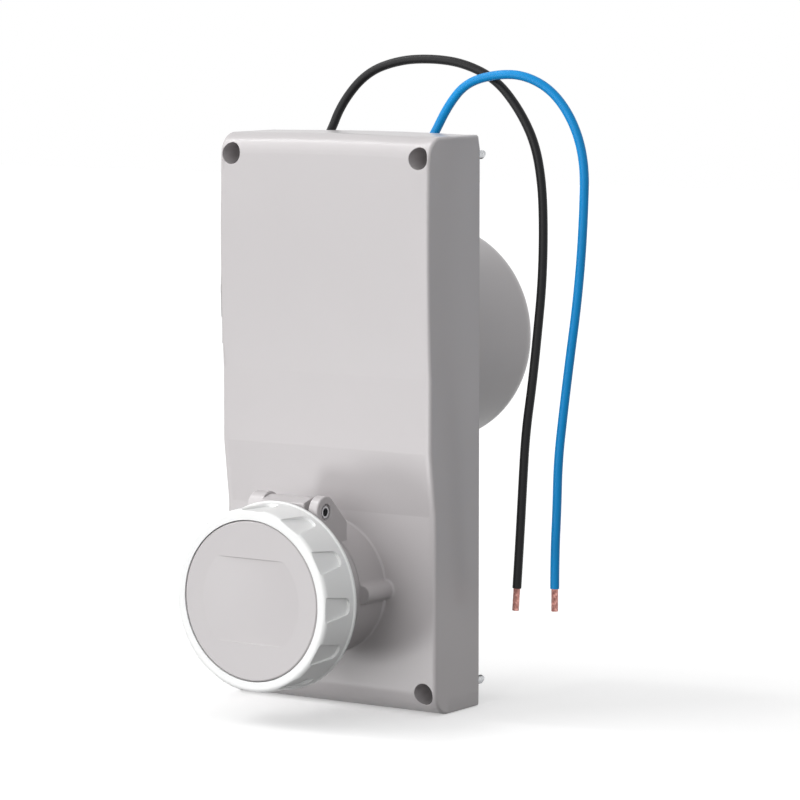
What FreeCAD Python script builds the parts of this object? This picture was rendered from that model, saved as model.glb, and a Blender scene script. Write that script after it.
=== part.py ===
import FreeCAD, Part
import math
import os

from FreeCAD import Vector

os.makedirs("parts", exist_ok=True)

# Watertight wall socket on a tall cover, with a toroidal safety transformer in the cup behind it.
# Millimetres. X runs to the right, Y into the wall, Z up. The origin is the centre of the four
# cover screws, on the plane of the cover's back rim.

# Cover moulding
WIDTH = 116.5
HEIGHT = 265.0
WALL = 3.6
LOWER_DEPTH = 37.0
MIDDLE_DEPTH = 40.65
CREST_DEPTH = 42.6
TOP_DEPTH = 41.2
LOWER_FACET_TOP = 92.0
MIDDLE_FACET_FOOT = 121.0
MIDDLE_FACET_TOP = 155.0
CREST_HEIGHT = 209.0
TOP_ROLL = 10.0
TOP_CROWN = 1.0
FOOT_ROLL = 12.0
CORNER_RADIUS = 7.0
EDGE_RADIUS = 3.0
BASE_FILLET = 1.2

# How far a cutter runs past the face that it opens
OVER = 1.0

# Back rim and its gasket
LIP = 1.6
GASKET_DEPTH = 5.0
GASKET_PLAY = 0.1
SEAL_LEDGE = 2.0

# Cover screws and their wells
SCREW_INSET_X = 6.35
SCREW_INSET_Z = 10.2
WELL_RADIUS = 5.0
WELL_WALL = 1.6
WELL_FLOOR = 8.0
COVER_SCREW_RADIUS = 2.1
COVER_SHANK_RADIUS = 1.75
COVER_SCREW_HOLE = 2.4
COVER_SCREW_REACH = 13.7
COVER_HEAD_RADIUS = 3.8
COVER_HEAD_HEIGHT = 2.8
SCREW_SEAL_RADIUS = 4.4
SCREW_SEAL_THICKNESS = 1.0

# Proportions of every pan-head screw
HEAD_ROUND = 0.35
TIP_ROUND = 0.45
CROSS_DEPTH = 0.5
CROSS_REACH = 0.62
CROSS_WIDTH = 0.16

# Socket barrel, moulded with the cover
SOCKET_RISE = 56.9
COLLAR_RADIUS = 31.0
COLLAR_FRONT = 56.6
COLLAR_ROUND = 0.5
BARREL_RADIUS = 30.4
BARREL_FRONT = 77.4
NECK_RADIUS = 28.8
MOUTH = 92.0
BORE_RADIUS = 25.0
KEYWAY_WIDTH = 6.0
KEYWAY_DEPTH = 1.8
KEYWAY_END = 54.0
BOSS_OFFSET = 31.3
BOSS_RADIUS = 4.3
BOSS_BLEND = 1.6
BOSS_HOLE_DEPTH = 16.0
HOLE_SPARE = 1.0

# Bayonet
RAMP_RADIUS = 33.6
RAMP_FRONT = 86.0
RAMP_BACK = 82.2
RAMP_CENTRE = -50.0
RAMP_HALF_ANGLE = 18.0
RAMP_LEAD = 4.5
RAMP_LEAD_RISE = 1.6
LUG_INNER = 30.8
LUG_THICKNESS = 3.5
LUG_GAP = 0.6
LUG_CENTRE = 0.0
LUG_HALF_ANGLE = 9.0
LUG_ROOT = 0.5

# Hinge
PIN_HEIGHT = 38.4
PIN_DEPTH = 68.3
PIN_RADIUS = 2.75
PIN_BORE = 1.9
PIN_FIT = 0.02
PIN_RUNNING_FIT = 0.06
PIN_RECESS = 0.4
KNUCKLE_RADIUS = 7.3
KNUCKLE_LEFT_OUTER = 19.0
KNUCKLE_LEFT_INNER = 11.1
KNUCKLE_RIGHT_INNER = 15.2
KNUCKLE_RIGHT_OUTER = 20.0
KNUCKLE_HEEL_DEPTH = 52.0
KNUCKLE_HEEL_HEIGHT = 32.8
KNUCKLE_ROUND = 0.7
COUNTERBORE_RADIUS = 3.8
COUNTERBORE_DEPTH = 1.6
HINGE_GAP = 0.3

# Lid cap
LID_FRONT = 99.3
LID_THICKNESS = 3.2
LID_RADIUS = 36.4
LID_EDGE = 0.5
SKIRT_WALL = 2.5
SKIRT_BACK = 86.6
RECESS_RADIUS = 26.5
RECESS_CHORD = 19.3
RECESS_DEPTH = 1.0
SEAL_OUTER = 30.9
SEAL_INNER = 24.3
SEAL_RIB = 1.2
SEAL_RIB_BACK = 93.0
SEAL_GAP = 0.3
SEAL_LIP_HALF = 2.4
SEAL_LIP_RISE = 0.7
ARM_INNER = 31.7
ARM_ROOT = 2.0
ARM_RIGHT = 13.1
ARM_HEAD_FRONT = 76.0
ARM_SHOULDER = 4.4
ARM_ROUND = 0.8
ARM_BARREL_RADIUS = 6.3

# Bayonet ring
RING_PLAY = 0.4
RING_BACK = 77.5
RING_FRONT_RADIUS = 41.8
RING_BACK_RADIUS = 42.6
RING_LIP_RADIUS = 43.2
RING_NOSE = 2.1
RING_BEAD_FRONT = 2.0
RING_BEAD_CREST = 1.4
RING_BEAD_EDGE = 0.4
POCKET_COUNT = 12
POCKET_FIRST = 59.0
POCKET_HALF_WIDTH = 5.9
POCKET_REAR_HALF_WIDTH = 3.6
POCKET_FLOOR = 40.9
POCKET_BACK = 82.2
POCKET_CORNER = 3.0
RETAINER_FRONT = 90.3
RETAINER_THICKNESS = 1.2
RETAINER_INNER = 35.1
RETAINER_OUTER = 38.0
RETAINER_PLAY = 0.4
RETAINER_SEAT = 0.1
RETAINER_SPLIT = 8.0

# Hinge spring
SPRING_WIRE = 0.45
SPRING_COIL = 3.45
SPRING_TURNS = 4
SPRING_TAIL = 2.5
SPRING_COIL_GAP = 0.02
SPRING_HOLE_PLAY = 0.1
SPRING_HOOD = 0.5

# Contact carrier and its contacts
TOWER_RADIUS = 17.0
TOWER_FRONT = 88.5
TOWER_FOOT = 52.0
TOWER_EDGE = 1.0
CARRIER_PLAY = 0.2
CARRIER_SEAL_THICKNESS = 1.5
CARRIER_SEAL_WIDTH = 3.0
FLANGE_RADIUS = 36.5
FLANGE_THICKNESS = 3.5
HUB_RADIUS = 20.0
HUB_BACK = 12.0
CONTACT_OFFSET = 8.5
CONTACT_BORE = 2.55
CONTACT_RADIUS = 3.8
CONTACT_FRONT = 85.5
CONTACT_DEPTH = 38.0
CONTACT_ENTRY = 2.9
CONTACT_PLAY = 0.1
TERMINAL_SIZE = 9.0
TERMINAL_SCREW_RADIUS = 1.6
TERMINAL_SCREW_PLAY = 0.05
TERMINAL_SCREW_RISE = 1.0
TERMINAL_HEAD_RADIUS = 2.8
TERMINAL_HEAD_HEIGHT = 1.8

# Transformer cup
CUP_DROP = 45.9
CUP_SIDE_GAP = 3.05
CUP_WALL = 2.6
CUP_END = 64.7
CUP_END_WALL = 3.0
CUP_ROLL = 13.0
CUP_RIM = 3.0
LUG_REACH = 6.38
LUG_RADIUS = 5.5
COVER_THICKNESS = 3.0
COVER_SPIGOT = 2.0
STANDOFF_RADIUS = 4.5
STANDOFF_WEB = 1.6
STANDOFF_WEB_BACK = 12.0
CUP_BOSS_RADIUS = 8.0
CUP_BOSS_HEIGHT = 11.7

# Toroid and its clamp
TOROID_GAP = 3.0
TOROID_HOLE_SHARE = 0.37
TOROID_HEIGHT = 46.0
TOROID_ROUND_SHARE = 0.31
WINDING_SHARE = 0.207
CORE_PLAY = 0.1
PAD_THICKNESS = 2.0
PAD_HOLE_STEP = 2.5
DISC_THICKNESS = 1.6
DISC_INSET = 1.0
DISH_DEPTH = 6.0
DISH_RADIUS = 12.0
DISH_STEP = 0.8
BOLT_PLAY = 0.3
BOLT_RADIUS = 3.0
BOLT_HEAD = 5.0
BOLT_HEAD_HEIGHT = 4.0
INSERT_RADIUS = 4.4
INSERT_LENGTH = 9.5

# Inner screws
SMALL_SCREW_RADIUS = 1.45
SMALL_HEAD_RADIUS = 3.2
SMALL_HEAD_HEIGHT = 2.2
SMALL_HOLE = 1.5
SMALL_CLEARANCE_HOLE = 1.8
CUP_SCREW_LENGTH = 21.0
SADDLE_SCREW_LENGTH = 17.0
SADDLE_HEAD_RADIUS = 2.8

# Leads and wires
LEAD_RADIUS = 2.1
LEAD_PLAY = 0.1
COPPER_RADIUS = 1.6
COPPER_LENGTH = 10.5
WIRE_RADIUS = 1.6
WIRE_PLANE = 10.5
WIRE_BEND = 4.0
ANCHOR_DROP = 40.5
ANCHOR_HEIGHT = 8.0
ANCHOR_HALF_WIDTH = 10.5
SADDLE_BACK = 6.0
SADDLE_SPLIT = 0.4
SADDLE_ROUND = 1.0
SADDLE_SCREW_OFFSET = 6.3
INNER_LEAD_RUN = 30.0
BEND_SHARE = 0.45
SECONDARY_DROP = 38.0

# Places that follow from the sizes above
SCREW_X = WIDTH / 2 - SCREW_INSET_X
SCREW_Z = HEIGHT / 2 - SCREW_INSET_Z
TOP = HEIGHT / 2
FLOOR = -HEIGHT / 2
DEEPEST = max(LOWER_DEPTH, MIDDLE_DEPTH, CREST_DEPTH, TOP_DEPTH)
SOCKET_Z = FLOOR + SOCKET_RISE
PIN_Z = SOCKET_Z + PIN_HEIGHT
PANEL_BACK = LOWER_DEPTH - WALL
CUP_RADIUS = WIDTH / 2 - WALL - CUP_SIDE_GAP
CUP_Z = TOP - CUP_DROP - CUP_RADIUS
LUG_OFFSET = (CUP_RADIUS + LUG_REACH) / math.sqrt(2)
TOROID_RADIUS = CUP_RADIUS - CUP_WALL - TOROID_GAP
TOROID_HOLE = TOROID_HOLE_SHARE * TOROID_RADIUS
TOROID_ROUND = TOROID_ROUND_SHARE * (TOROID_RADIUS - TOROID_HOLE)
WINDING_THICKNESS = WINDING_SHARE * (TOROID_RADIUS - TOROID_HOLE)
PAD_HOLE = TOROID_HOLE + PAD_HOLE_STEP
PAD_RADIUS = TOROID_RADIUS - TOROID_ROUND
DISC_RADIUS = PAD_RADIUS - DISC_INSET
ANCHOR_TOP = TOP - ANCHOR_DROP
CORNERS = [(sx, sz) for sx in (-1, 1) for sz in (-1, 1)]

# Routes of the two supply leads, from their anchorage to the end of the insulation. The third
# number is the height over the cover's top edge.
BLACK_ROUTE = [
    (-33.5, -10.5, -40.5), (-33.5, -10.5, -29.5), (-33.2, -3.5, -16.5), (-31.2, 8.4, -3.0),
    (-27.0, 12.5, 12.0), (-14.0, 14.0, 26.5), (4.0, 14.5, 32.5), (22.5, 15.0, 33.5),
    (40.0, 15.0, 31.5), (57.5, 14.5, 24.5), (70.5, 13.5, 11.5), (80.5, 12.0, -4.0),
    (85.0, 11.0, -22.5), (86.5, 10.0, -44.0), (86.5, 9.0, -68.0), (84.5, 8.5, -90.0),
    (82.0, 8.0, -114.5), (78.5, 8.0, -137.0), (77.0, 8.0, -161.0), (75.5, 8.0, -187.5),
    (74.0, 8.0, -209.5),
]
BLUE_ROUTE = [
    (24.0, -10.5, -40.5), (24.0, -10.5, -29.5), (24.4, -3.5, -16.5), (27.0, 8.2, -3.0),
    (35.0, 9.5, 12.5), (45.5, 9.0, 23.0), (62.5, 9.0, 27.0), (77.0, 9.5, 26.5),
    (91.5, 10.0, 19.5), (102.5, 10.5, 5.0), (108.0, 10.5, -13.0), (107.5, 10.5, -35.0),
    (106.5, 10.0, -57.0), (104.5, 9.5, -79.0), (101.5, 9.0, -101.5), (98.5, 8.5, -126.0),
    (96.0, 8.0, -149.0), (95.5, 8.0, -171.5), (94.5, 8.0, -191.0), (94.5, 8.0, -208.0),
]


def cylinder(radius, front, back, x=0.0, z=0.0):
    """Round bar along Y, between two depths in front of the wall plane (front > back)."""
    return Part.makeCylinder(radius, front - back, Vector(x, -front, z), Vector(0, 1, 0))


def block(x0, x1, front, back, z0, z1):
    """Rectangular block between two depths in front of the wall plane."""
    return Part.makeBox(x1 - x0, front - back, z1 - z0, Vector(x0, -front, z0))


def cross_bar(radius, x0, x1, depth, z):
    """Round bar along X."""
    return Part.makeCylinder(radius, x1 - x0, Vector(x0, -depth, z), Vector(1, 0, 0))


def lathe(profile, z, x=0.0):
    """Turn (radius, depth) points about the Y axis through (x, z)."""
    points = [Vector(x + radius, -depth, z) for radius, depth in profile]
    face = Part.Face(Part.makePolygon(points + points[:1]))
    return face.revolve(Vector(x, 0, z), Vector(0, 1, 0), 360)


def sector(inner, outer, front, back, centre, half_angle, z):
    """Arc-shaped block round the Y axis through (0, z); angles in degrees up from +X."""
    def at(radius, angle):
        a = math.radians(angle)
        return Vector(radius * math.cos(a), -front, z + radius * math.sin(a))
    low = centre - half_angle
    high = centre + half_angle
    edges = [
        Part.Arc(at(outer, low), at(outer, centre), at(outer, high)).toShape(),
        Part.makeLine(at(outer, high), at(inner, high)),
        Part.Arc(at(inner, high), at(inner, centre), at(inner, low)).toShape(),
        Part.makeLine(at(inner, low), at(outer, low)),
    ]
    return Part.Face(Part.Wire(edges)).extrude(Vector(0, front - back, 0))


def prism_x(outline, x0, x1):
    """Extrude a (depth, z) outline along X."""
    points = [Vector(x0, -depth, z) for depth, z in outline]
    return Part.Face(Part.makePolygon(points + points[:1])).extrude(Vector(x1 - x0, 0, 0))


def pick(shape, test):
    """Edges whose bounding box passes the test."""
    return [edge for edge in shape.Edges if test(edge.BoundBox)]


def near(a, b):
    return abs(a - b) < 0.01


def at_depth(shape, depth):
    """Edges that lie wholly at one depth in front of the wall plane."""
    return pick(shape, lambda b: near(b.YMin, -depth) and near(b.YMax, -depth))


def one(shape):
    """The single solid of a result, with its faces merged."""
    return shape.removeSplitter().Solids[0]


def screw(x, z, seat, tip, radius, head_radius, head_height):
    """Pan-head screw along Y with a cross recess; seat and tip are depths."""
    toward = 1 if tip > seat else -1
    shank = cylinder(radius, max(seat, tip), min(seat, tip), x, z)
    crown = seat - toward * head_height
    head = cylinder(head_radius, max(seat, crown), min(seat, crown), x, z)
    head = head.makeFillet(HEAD_ROUND * head_height, at_depth(head, crown))
    shank = shank.makeFillet(TIP_ROUND * radius, at_depth(shank, tip))
    body = head.fuse(shank)
    front, back = sorted((crown - toward * OVER, crown + toward * CROSS_DEPTH * head_height), reverse=True)
    arm = CROSS_REACH * head_radius
    slot = CROSS_WIDTH * head_radius
    for half_x, half_z in ((arm, slot), (slot, arm)):
        body = body.cut(block(x - half_x, x + half_x, front, back, z - half_z, z + half_z))
    return one(body)


def group(solids):
    return Part.makeCompound(solids)


def cover_block(inset, half_width, roll_sides):
    """The cover's outer form, or its cavity when inset is the wall."""
    low = FLOOR + inset
    high = HEIGHT / 2 - inset
    rise = [(LOWER_FACET_TOP, LOWER_DEPTH), (MIDDLE_FACET_FOOT, MIDDLE_DEPTH)]
    rise.append((MIDDLE_FACET_TOP, MIDDLE_DEPTH))
    facets = [Vector(-half_width, -(depth - inset), FLOOR + z) for z, depth in rise]
    foot = Vector(-half_width, -(LOWER_DEPTH - inset), low)
    crest = Vector(-half_width, -(CREST_DEPTH - inset), FLOOR + CREST_HEIGHT)
    brow = Vector(-half_width, -(TOP_DEPTH - inset), high)
    back_low = Vector(-half_width, 0, low)
    back_high = Vector(-half_width, 0, high)
    edges = [Part.makeLine(back_low, foot), Part.makeLine(foot, facets[0])]
    edges += [Part.makeLine(facets[0], facets[1]), Part.makeLine(facets[1], facets[2])]
    edges += [Part.Arc(facets[2], crest, brow).toShape(), Part.makeLine(brow, back_high)]
    edges.append(Part.makeLine(back_high, back_low))
    solid = Part.Face(Part.Wire(edges)).extrude(Vector(2 * half_width, 0, 0))
    crown = ((WIDTH / 2) ** 2 + TOP_CROWN ** 2) / (2 * TOP_CROWN)
    solid = solid.common(cylinder(crown - inset, DEEPEST + OVER, -OVER, 0, HEIGHT / 2 - crown))
    edge_top = high - 2 * TOP_CROWN
    top_edge = pick(solid, lambda b: b.ZMin > edge_top and b.XLength > half_width and b.YMax < -WALL)
    solid = solid.makeFillet(TOP_ROLL - inset, top_edge)
    foot_edge = pick(solid, lambda b: near(b.ZMin, low) and near(b.ZMax, low) and near(b.YMax, foot.y))
    solid = solid.makeFillet(FOOT_ROLL - inset, foot_edge)
    if not roll_sides:
        return solid
    return soften_sides(solid, half_width)


def soften_sides(solid, half_width):
    """Round the side edges: a wide radius at the corners that runs out into the front edges."""
    document = FreeCAD.newDocument("cover")
    base = document.addObject("Part::Feature", "block")
    base.Shape = solid
    radii = []
    for index, edge in enumerate(base.Shape.Edges, start=1):
        box = edge.BoundBox
        on_side = near(box.XMin, box.XMax) and near(abs(box.XMin), half_width)
        if not on_side or near(box.YMin, 0) and near(box.YMax, 0):
            continue
        ends = [edge.valueAt(edge.FirstParameter), edge.valueAt(edge.LastParameter)]
        wide = [abs(end.z) > HEIGHT / 2 - 2 * TOP_CROWN for end in ends]
        first, last = [CORNER_RADIUS if flat else EDGE_RADIUS for flat in wide]
        radii.append((index, first, last))
    fillet = document.addObject("Part::Fillet", "softened")
    fillet.Base = base
    fillet.Edges = radii
    document.recompute()
    shape = fillet.Shape.copy()
    FreeCAD.closeDocument(document.Name)
    return shape.Solids[0]


def screw_column(radius, sx, sz, front, back):
    """Corner column round one cover screw, filled out to the cover's corner."""
    x = sx * SCREW_X
    z = sz * SCREW_Z
    column = cylinder(radius, front, back, x, z)
    outer_x = sx * WIDTH / 2
    outer_z = sz * HEIGHT / 2
    for near_x, near_z in ((x, z - sz * radius), (x - sx * radius, z)):
        x0, x1 = sorted((near_x, outer_x))
        z0, z1 = sorted((near_z, outer_z))
        column = column.fuse(block(x0, x1, front, back, z0, z1))
    return column


def rim_area(inset, column_radius, front, back):
    """Space inside the rim, less the four corner columns."""
    half_x = WIDTH / 2 - inset
    half_z = HEIGHT / 2 - inset
    space = block(-half_x, half_x, front, back, -half_z, half_z)
    for sx, sz in CORNERS:
        space = space.cut(screw_column(column_radius, sx, sz, front, back))
    return space


def tangent_point(outside, centre, radius, side):
    """Where the line from a point touches a circle; (depth, z) pairs."""
    dy = outside[0] - centre[0]
    dz = outside[1] - centre[1]
    reach = math.hypot(dy, dz)
    angle = math.atan2(dz, dy) + side * math.acos(radius / reach)
    return centre[0] + radius * math.cos(angle), centre[1] + radius * math.sin(angle)


def knuckle(x0, x1):
    """Hinge ear: round about the pin, sloping back to its heel on the barrel."""
    centre = (PIN_DEPTH, PIN_Z)
    heel = (KNUCKLE_HEEL_DEPTH, SOCKET_Z + KNUCKLE_HEEL_HEIGHT)
    touch = tangent_point(heel, centre, KNUCKLE_RADIUS, -1)
    root = SOCKET_Z + BORE_RADIUS / 2
    outline = [(PIN_DEPTH + KNUCKLE_RADIUS, PIN_Z), (PIN_DEPTH + KNUCKLE_RADIUS, root)]
    outline += [(KNUCKLE_HEEL_DEPTH, root), heel, touch, centre]
    ear = one(prism_x(outline, x0, x1).fuse(cross_bar(KNUCKLE_RADIUS, x0, x1, PIN_DEPTH, PIN_Z)))
    outer = max(x0, x1, key=abs)
    rim = pick(ear, lambda b: near(b.XMin, outer) and near(b.XMax, outer) and b.ZMin > root + OVER)
    return ear.makeFillet(KNUCKLE_ROUND, rim)


def base_flare(radius, x):
    """Small concave fillet where a round boss rises from the cover's lower facet."""
    def point(out, depth):
        return Vector(x + radius + out, -depth, SOCKET_Z)
    size = BASE_FILLET
    inset = size * (1 - math.sqrt(0.5))
    edges = [
        Part.makeLine(point(-size, LOWER_DEPTH - size), point(size, LOWER_DEPTH - size)),
        Part.makeLine(point(size, LOWER_DEPTH - size), point(size, LOWER_DEPTH)),
        Part.Arc(point(size, LOWER_DEPTH), point(inset, LOWER_DEPTH + inset),
                 point(0, LOWER_DEPTH + size)).toShape(),
        Part.makeLine(point(0, LOWER_DEPTH + size), point(-size, LOWER_DEPTH + size)),
        Part.makeLine(point(-size, LOWER_DEPTH + size), point(-size, LOWER_DEPTH - size)),
    ]
    return Part.Face(Part.Wire(edges)).revolve(Vector(x, 0, SOCKET_Z), Vector(0, 1, 0), 360)


def boss_lobe(side):
    """Outline of one side boss, blended into the collar's circle on both sides."""
    reach = COLLAR_RADIUS + BOSS_BLEND
    near_boss = BOSS_RADIUS + BOSS_BLEND
    across = (reach ** 2 - near_boss ** 2 + BOSS_OFFSET ** 2) / (2 * BOSS_OFFSET)
    up = math.sqrt(reach ** 2 - across ** 2)

    def along(start, centre, radius):
        """The point at the radius from the centre, on the way from it to the start."""
        size = math.hypot(start[0] - centre[0], start[1] - centre[1])
        return [centre[i] + (start[i] - centre[i]) * radius / size for i in (0, 1)]

    blend = (across, up)
    on_collar = along(blend, (0, 0), COLLAR_RADIUS)
    on_boss = along(blend, (BOSS_OFFSET, 0), BOSS_RADIUS)
    halfway = along([(on_collar[i] + on_boss[i]) / 2 for i in (0, 1)], blend, BOSS_BLEND)

    def point(place, flip=1):
        return Vector(side * place[0], -PANEL_BACK, SOCKET_Z + flip * place[1])

    core = (BORE_RADIUS + WALL, on_collar[1])
    tip = (BOSS_OFFSET + BOSS_RADIUS, 0)
    edges = [
        Part.makeLine(point(core), point(on_collar)),
        Part.Arc(point(on_collar), point(halfway), point(on_boss)).toShape(),
        Part.Arc(point(on_boss), point(tip), point(on_boss, -1)).toShape(),
        Part.Arc(point(on_boss, -1), point(halfway, -1), point(on_collar, -1)).toShape(),
        Part.makeLine(point(on_collar, -1), point(core, -1)),
        Part.makeLine(point(core, -1), point(core)),
    ]
    return Part.Face(Part.Wire(edges)).extrude(Vector(0, PANEL_BACK - COLLAR_FRONT, 0))


def collar():
    """The barrel's wide foot and the two bosses in one outline, with a rounded front edge."""
    foot = cylinder(COLLAR_RADIUS, COLLAR_FRONT, PANEL_BACK, 0, SOCKET_Z)
    foot = one(foot.fuse([boss_lobe(-1), boss_lobe(1)]))
    return foot.makeFillet(COLLAR_ROUND, at_depth(foot, COLLAR_FRONT))


def ramp(centre):
    """One bayonet ramp: an arc of the neck's rim whose back slopes away where the lug runs in."""
    arc = sector(NECK_RADIUS - OVER, RAMP_RADIUS, RAMP_FRONT, RAMP_BACK, centre, RAMP_HALF_ANGLE, SOCKET_Z)
    outline = [(RAMP_BACK, -RAMP_LEAD), (RAMP_BACK + RAMP_LEAD_RISE, 0), (RAMP_BACK + RAMP_LEAD_RISE, OVER)]
    outline += [(RAMP_BACK - OVER, OVER), (RAMP_BACK - OVER, -RAMP_LEAD)]
    wedge = prism_x(outline, NECK_RADIUS - 2 * OVER, RAMP_RADIUS + OVER)
    wedge.rotate(Vector(0, 0, 0), Vector(0, -1, 0), centre + RAMP_HALF_ANGLE)
    wedge.translate(Vector(0, 0, SOCKET_Z))
    return arc.cut(wedge)


def cup_lugs():
    return [(sx * LUG_OFFSET, CUP_Z + sz * LUG_OFFSET) for sx, sz in CORNERS]


def anchors():
    return [BLACK_ROUTE[0][0], BLUE_ROUTE[0][0]]


def anchor_screw_places():
    middle = ANCHOR_TOP - ANCHOR_HEIGHT / 2
    return [(x + side * SADDLE_SCREW_OFFSET, middle) for x in anchors() for side in (-1, 1)]


def lead_groove(x):
    """Cutter for the half-round seat of one lead, in its post and in its saddle."""
    foot = Vector(x, -WIRE_PLANE, ANCHOR_TOP - ANCHOR_HEIGHT - OVER)
    return Part.makeCylinder(LEAD_RADIUS + LEAD_PLAY, ANCHOR_HEIGHT + 2 * OVER, foot)


def cover_housing():
    outer = cover_block(0, WIDTH / 2, True)
    inside = cover_block(WALL, WIDTH / 2 - WALL, False)
    column = WELL_RADIUS + WELL_WALL
    for sx, sz in CORNERS:
        inside = inside.cut(screw_column(column + SEAL_LEDGE, sx, sz, DEEPEST, GASKET_DEPTH))
        inside = inside.cut(screw_column(column, sx, sz, GASKET_DEPTH, -OVER))
    housing = outer.cut(inside).cut(rim_area(LIP, column, GASKET_DEPTH, -OVER))

    # Standoffs for the cup with a web to the side wall, posts for the lead saddles
    for x, z in cup_lugs():
        post = cylinder(STANDOFF_RADIUS, DEEPEST, CUP_RIM + COVER_THICKNESS, x, z)
        x0, x1 = sorted((x, math.copysign(WIDTH / 2, x)))
        web = block(x0, x1, DEEPEST, STANDOFF_WEB_BACK, z - STANDOFF_WEB / 2, z + STANDOFF_WEB / 2)
        housing = housing.fuse(post.fuse(web).common(outer))
    for x in anchors():
        post = block(x - ANCHOR_HALF_WIDTH, x + ANCHOR_HALF_WIDTH, DEEPEST,
                     WIRE_PLANE + SADDLE_SPLIT / 2, ANCHOR_TOP - ANCHOR_HEIGHT, ANCHOR_TOP)
        housing = housing.fuse(post.common(outer))

    # Collar with its side bosses, barrel, neck, ramps, hinge ears
    barrel = cylinder(BARREL_RADIUS, BARREL_FRONT, PANEL_BACK, 0, SOCKET_Z)
    neck = cylinder(NECK_RADIUS, MOUTH, PANEL_BACK, 0, SOCKET_Z)
    housing = housing.fuse([collar(), barrel, neck, base_flare(COLLAR_RADIUS, 0)])
    housing = housing.fuse([base_flare(BOSS_RADIUS, side * BOSS_OFFSET) for side in (-1, 1)])
    housing = housing.fuse([ramp(RAMP_CENTRE), ramp(RAMP_CENTRE + 180)])
    housing = housing.fuse([knuckle(-KNUCKLE_LEFT_OUTER, -KNUCKLE_LEFT_INNER),
                            knuckle(KNUCKLE_RIGHT_INNER, KNUCKLE_RIGHT_OUTER)])

    # Bore, keyway, pin holes
    housing = housing.cut(cylinder(BORE_RADIUS, MOUTH + OVER, PANEL_BACK - OVER, 0, SOCKET_Z))
    keyway = block(-KEYWAY_WIDTH / 2, KEYWAY_WIDTH / 2, MOUTH + OVER, KEYWAY_END,
                   SOCKET_Z - BORE_RADIUS - KEYWAY_DEPTH, SOCKET_Z)
    housing = housing.cut(keyway)
    left = -KNUCKLE_LEFT_OUTER - OVER
    right = KNUCKLE_RIGHT_OUTER + OVER
    deep = COUNTERBORE_DEPTH + OVER
    housing = housing.cut(cross_bar(PIN_RADIUS + PIN_FIT, left, right, PIN_DEPTH, PIN_Z))
    for x0, x1 in ((left, left + deep), (right - deep, right)):
        housing = housing.cut(cross_bar(COUNTERBORE_RADIUS, x0, x1, PIN_DEPTH, PIN_Z))

    # Screw holes
    for sx, sz in CORNERS:
        x = sx * SCREW_X
        z = sz * SCREW_Z
        housing = housing.cut(cylinder(WELL_RADIUS, DEEPEST + OVER, WELL_FLOOR, x, z))
        housing = housing.cut(cylinder(COVER_SCREW_HOLE, WELL_FLOOR + OVER, -OVER, x, z))
    for side in (-1, 1):
        deep = PANEL_BACK + BOSS_HOLE_DEPTH
        housing = housing.cut(cylinder(SMALL_HOLE, deep, PANEL_BACK - OVER, side * BOSS_OFFSET, SOCKET_Z))
    for x, z in cup_lugs():
        housing = housing.cut(cylinder(SMALL_HOLE, CUP_SCREW_LENGTH + HOLE_SPARE, CUP_RIM, x, z))
    for x, z in anchor_screw_places():
        deep = SADDLE_BACK + SADDLE_SCREW_LENGTH + HOLE_SPARE
        housing = housing.cut(cylinder(SMALL_HOLE, deep, SADDLE_BACK, x, z))
    for x in anchors():
        housing = housing.cut(lead_groove(x))
    return one(housing)


def rear_gasket():
    column = WELL_RADIUS + WELL_WALL + GASKET_PLAY
    ring = rim_area(LIP + GASKET_PLAY, column, GASKET_DEPTH, 0)
    ring = ring.cut(rim_area(WALL, WELL_RADIUS + WELL_WALL + SEAL_LEDGE, GASKET_DEPTH + OVER, -OVER))
    return one(ring)


def cover_screws():
    """Captive screws: the shank in the cover is thinner than the thread that stands out behind."""
    seat = WELL_FLOOR + SCREW_SEAL_THICKNESS
    screws = []
    for sx, sz in CORNERS:
        x = sx * SCREW_X
        z = sz * SCREW_Z
        plain = screw(x, z, seat, -OVER, COVER_SHANK_RADIUS, COVER_HEAD_RADIUS, COVER_HEAD_HEIGHT)
        thread = cylinder(COVER_SCREW_RADIUS, 0, -COVER_SCREW_REACH, x, z)
        thread = thread.makeFillet(TIP_ROUND * COVER_SCREW_RADIUS, at_depth(thread, -COVER_SCREW_REACH))
        screws.append(one(plain.fuse(thread)))
    return group(screws)


def screw_seals():
    seals = []
    front = WELL_FLOOR + SCREW_SEAL_THICKNESS
    for sx, sz in CORNERS:
        seal = cylinder(SCREW_SEAL_RADIUS, front, WELL_FLOOR, sx * SCREW_X, sz * SCREW_Z)
        hole = cylinder(COVER_SCREW_HOLE, front + OVER, WELL_FLOOR - OVER, sx * SCREW_X, sz * SCREW_Z)
        seals.append(seal.cut(hole))
    return group(seals)


def hinge_pin():
    left = PIN_RECESS - KNUCKLE_LEFT_OUTER
    right = KNUCKLE_RIGHT_OUTER - PIN_RECESS
    pin = cross_bar(PIN_RADIUS, left, right, PIN_DEPTH, PIN_Z)
    return pin.cut(cross_bar(PIN_BORE, left - OVER, right + OVER, PIN_DEPTH, PIN_Z))


def spring_room():
    """X range of the spring: from its seat in the lid's barrel to the right knuckle."""
    right = KNUCKLE_RIGHT_INNER - HINGE_GAP
    return right - (SPRING_TURNS + 1) * 2 * SPRING_WIRE - HINGE_GAP, right


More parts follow.
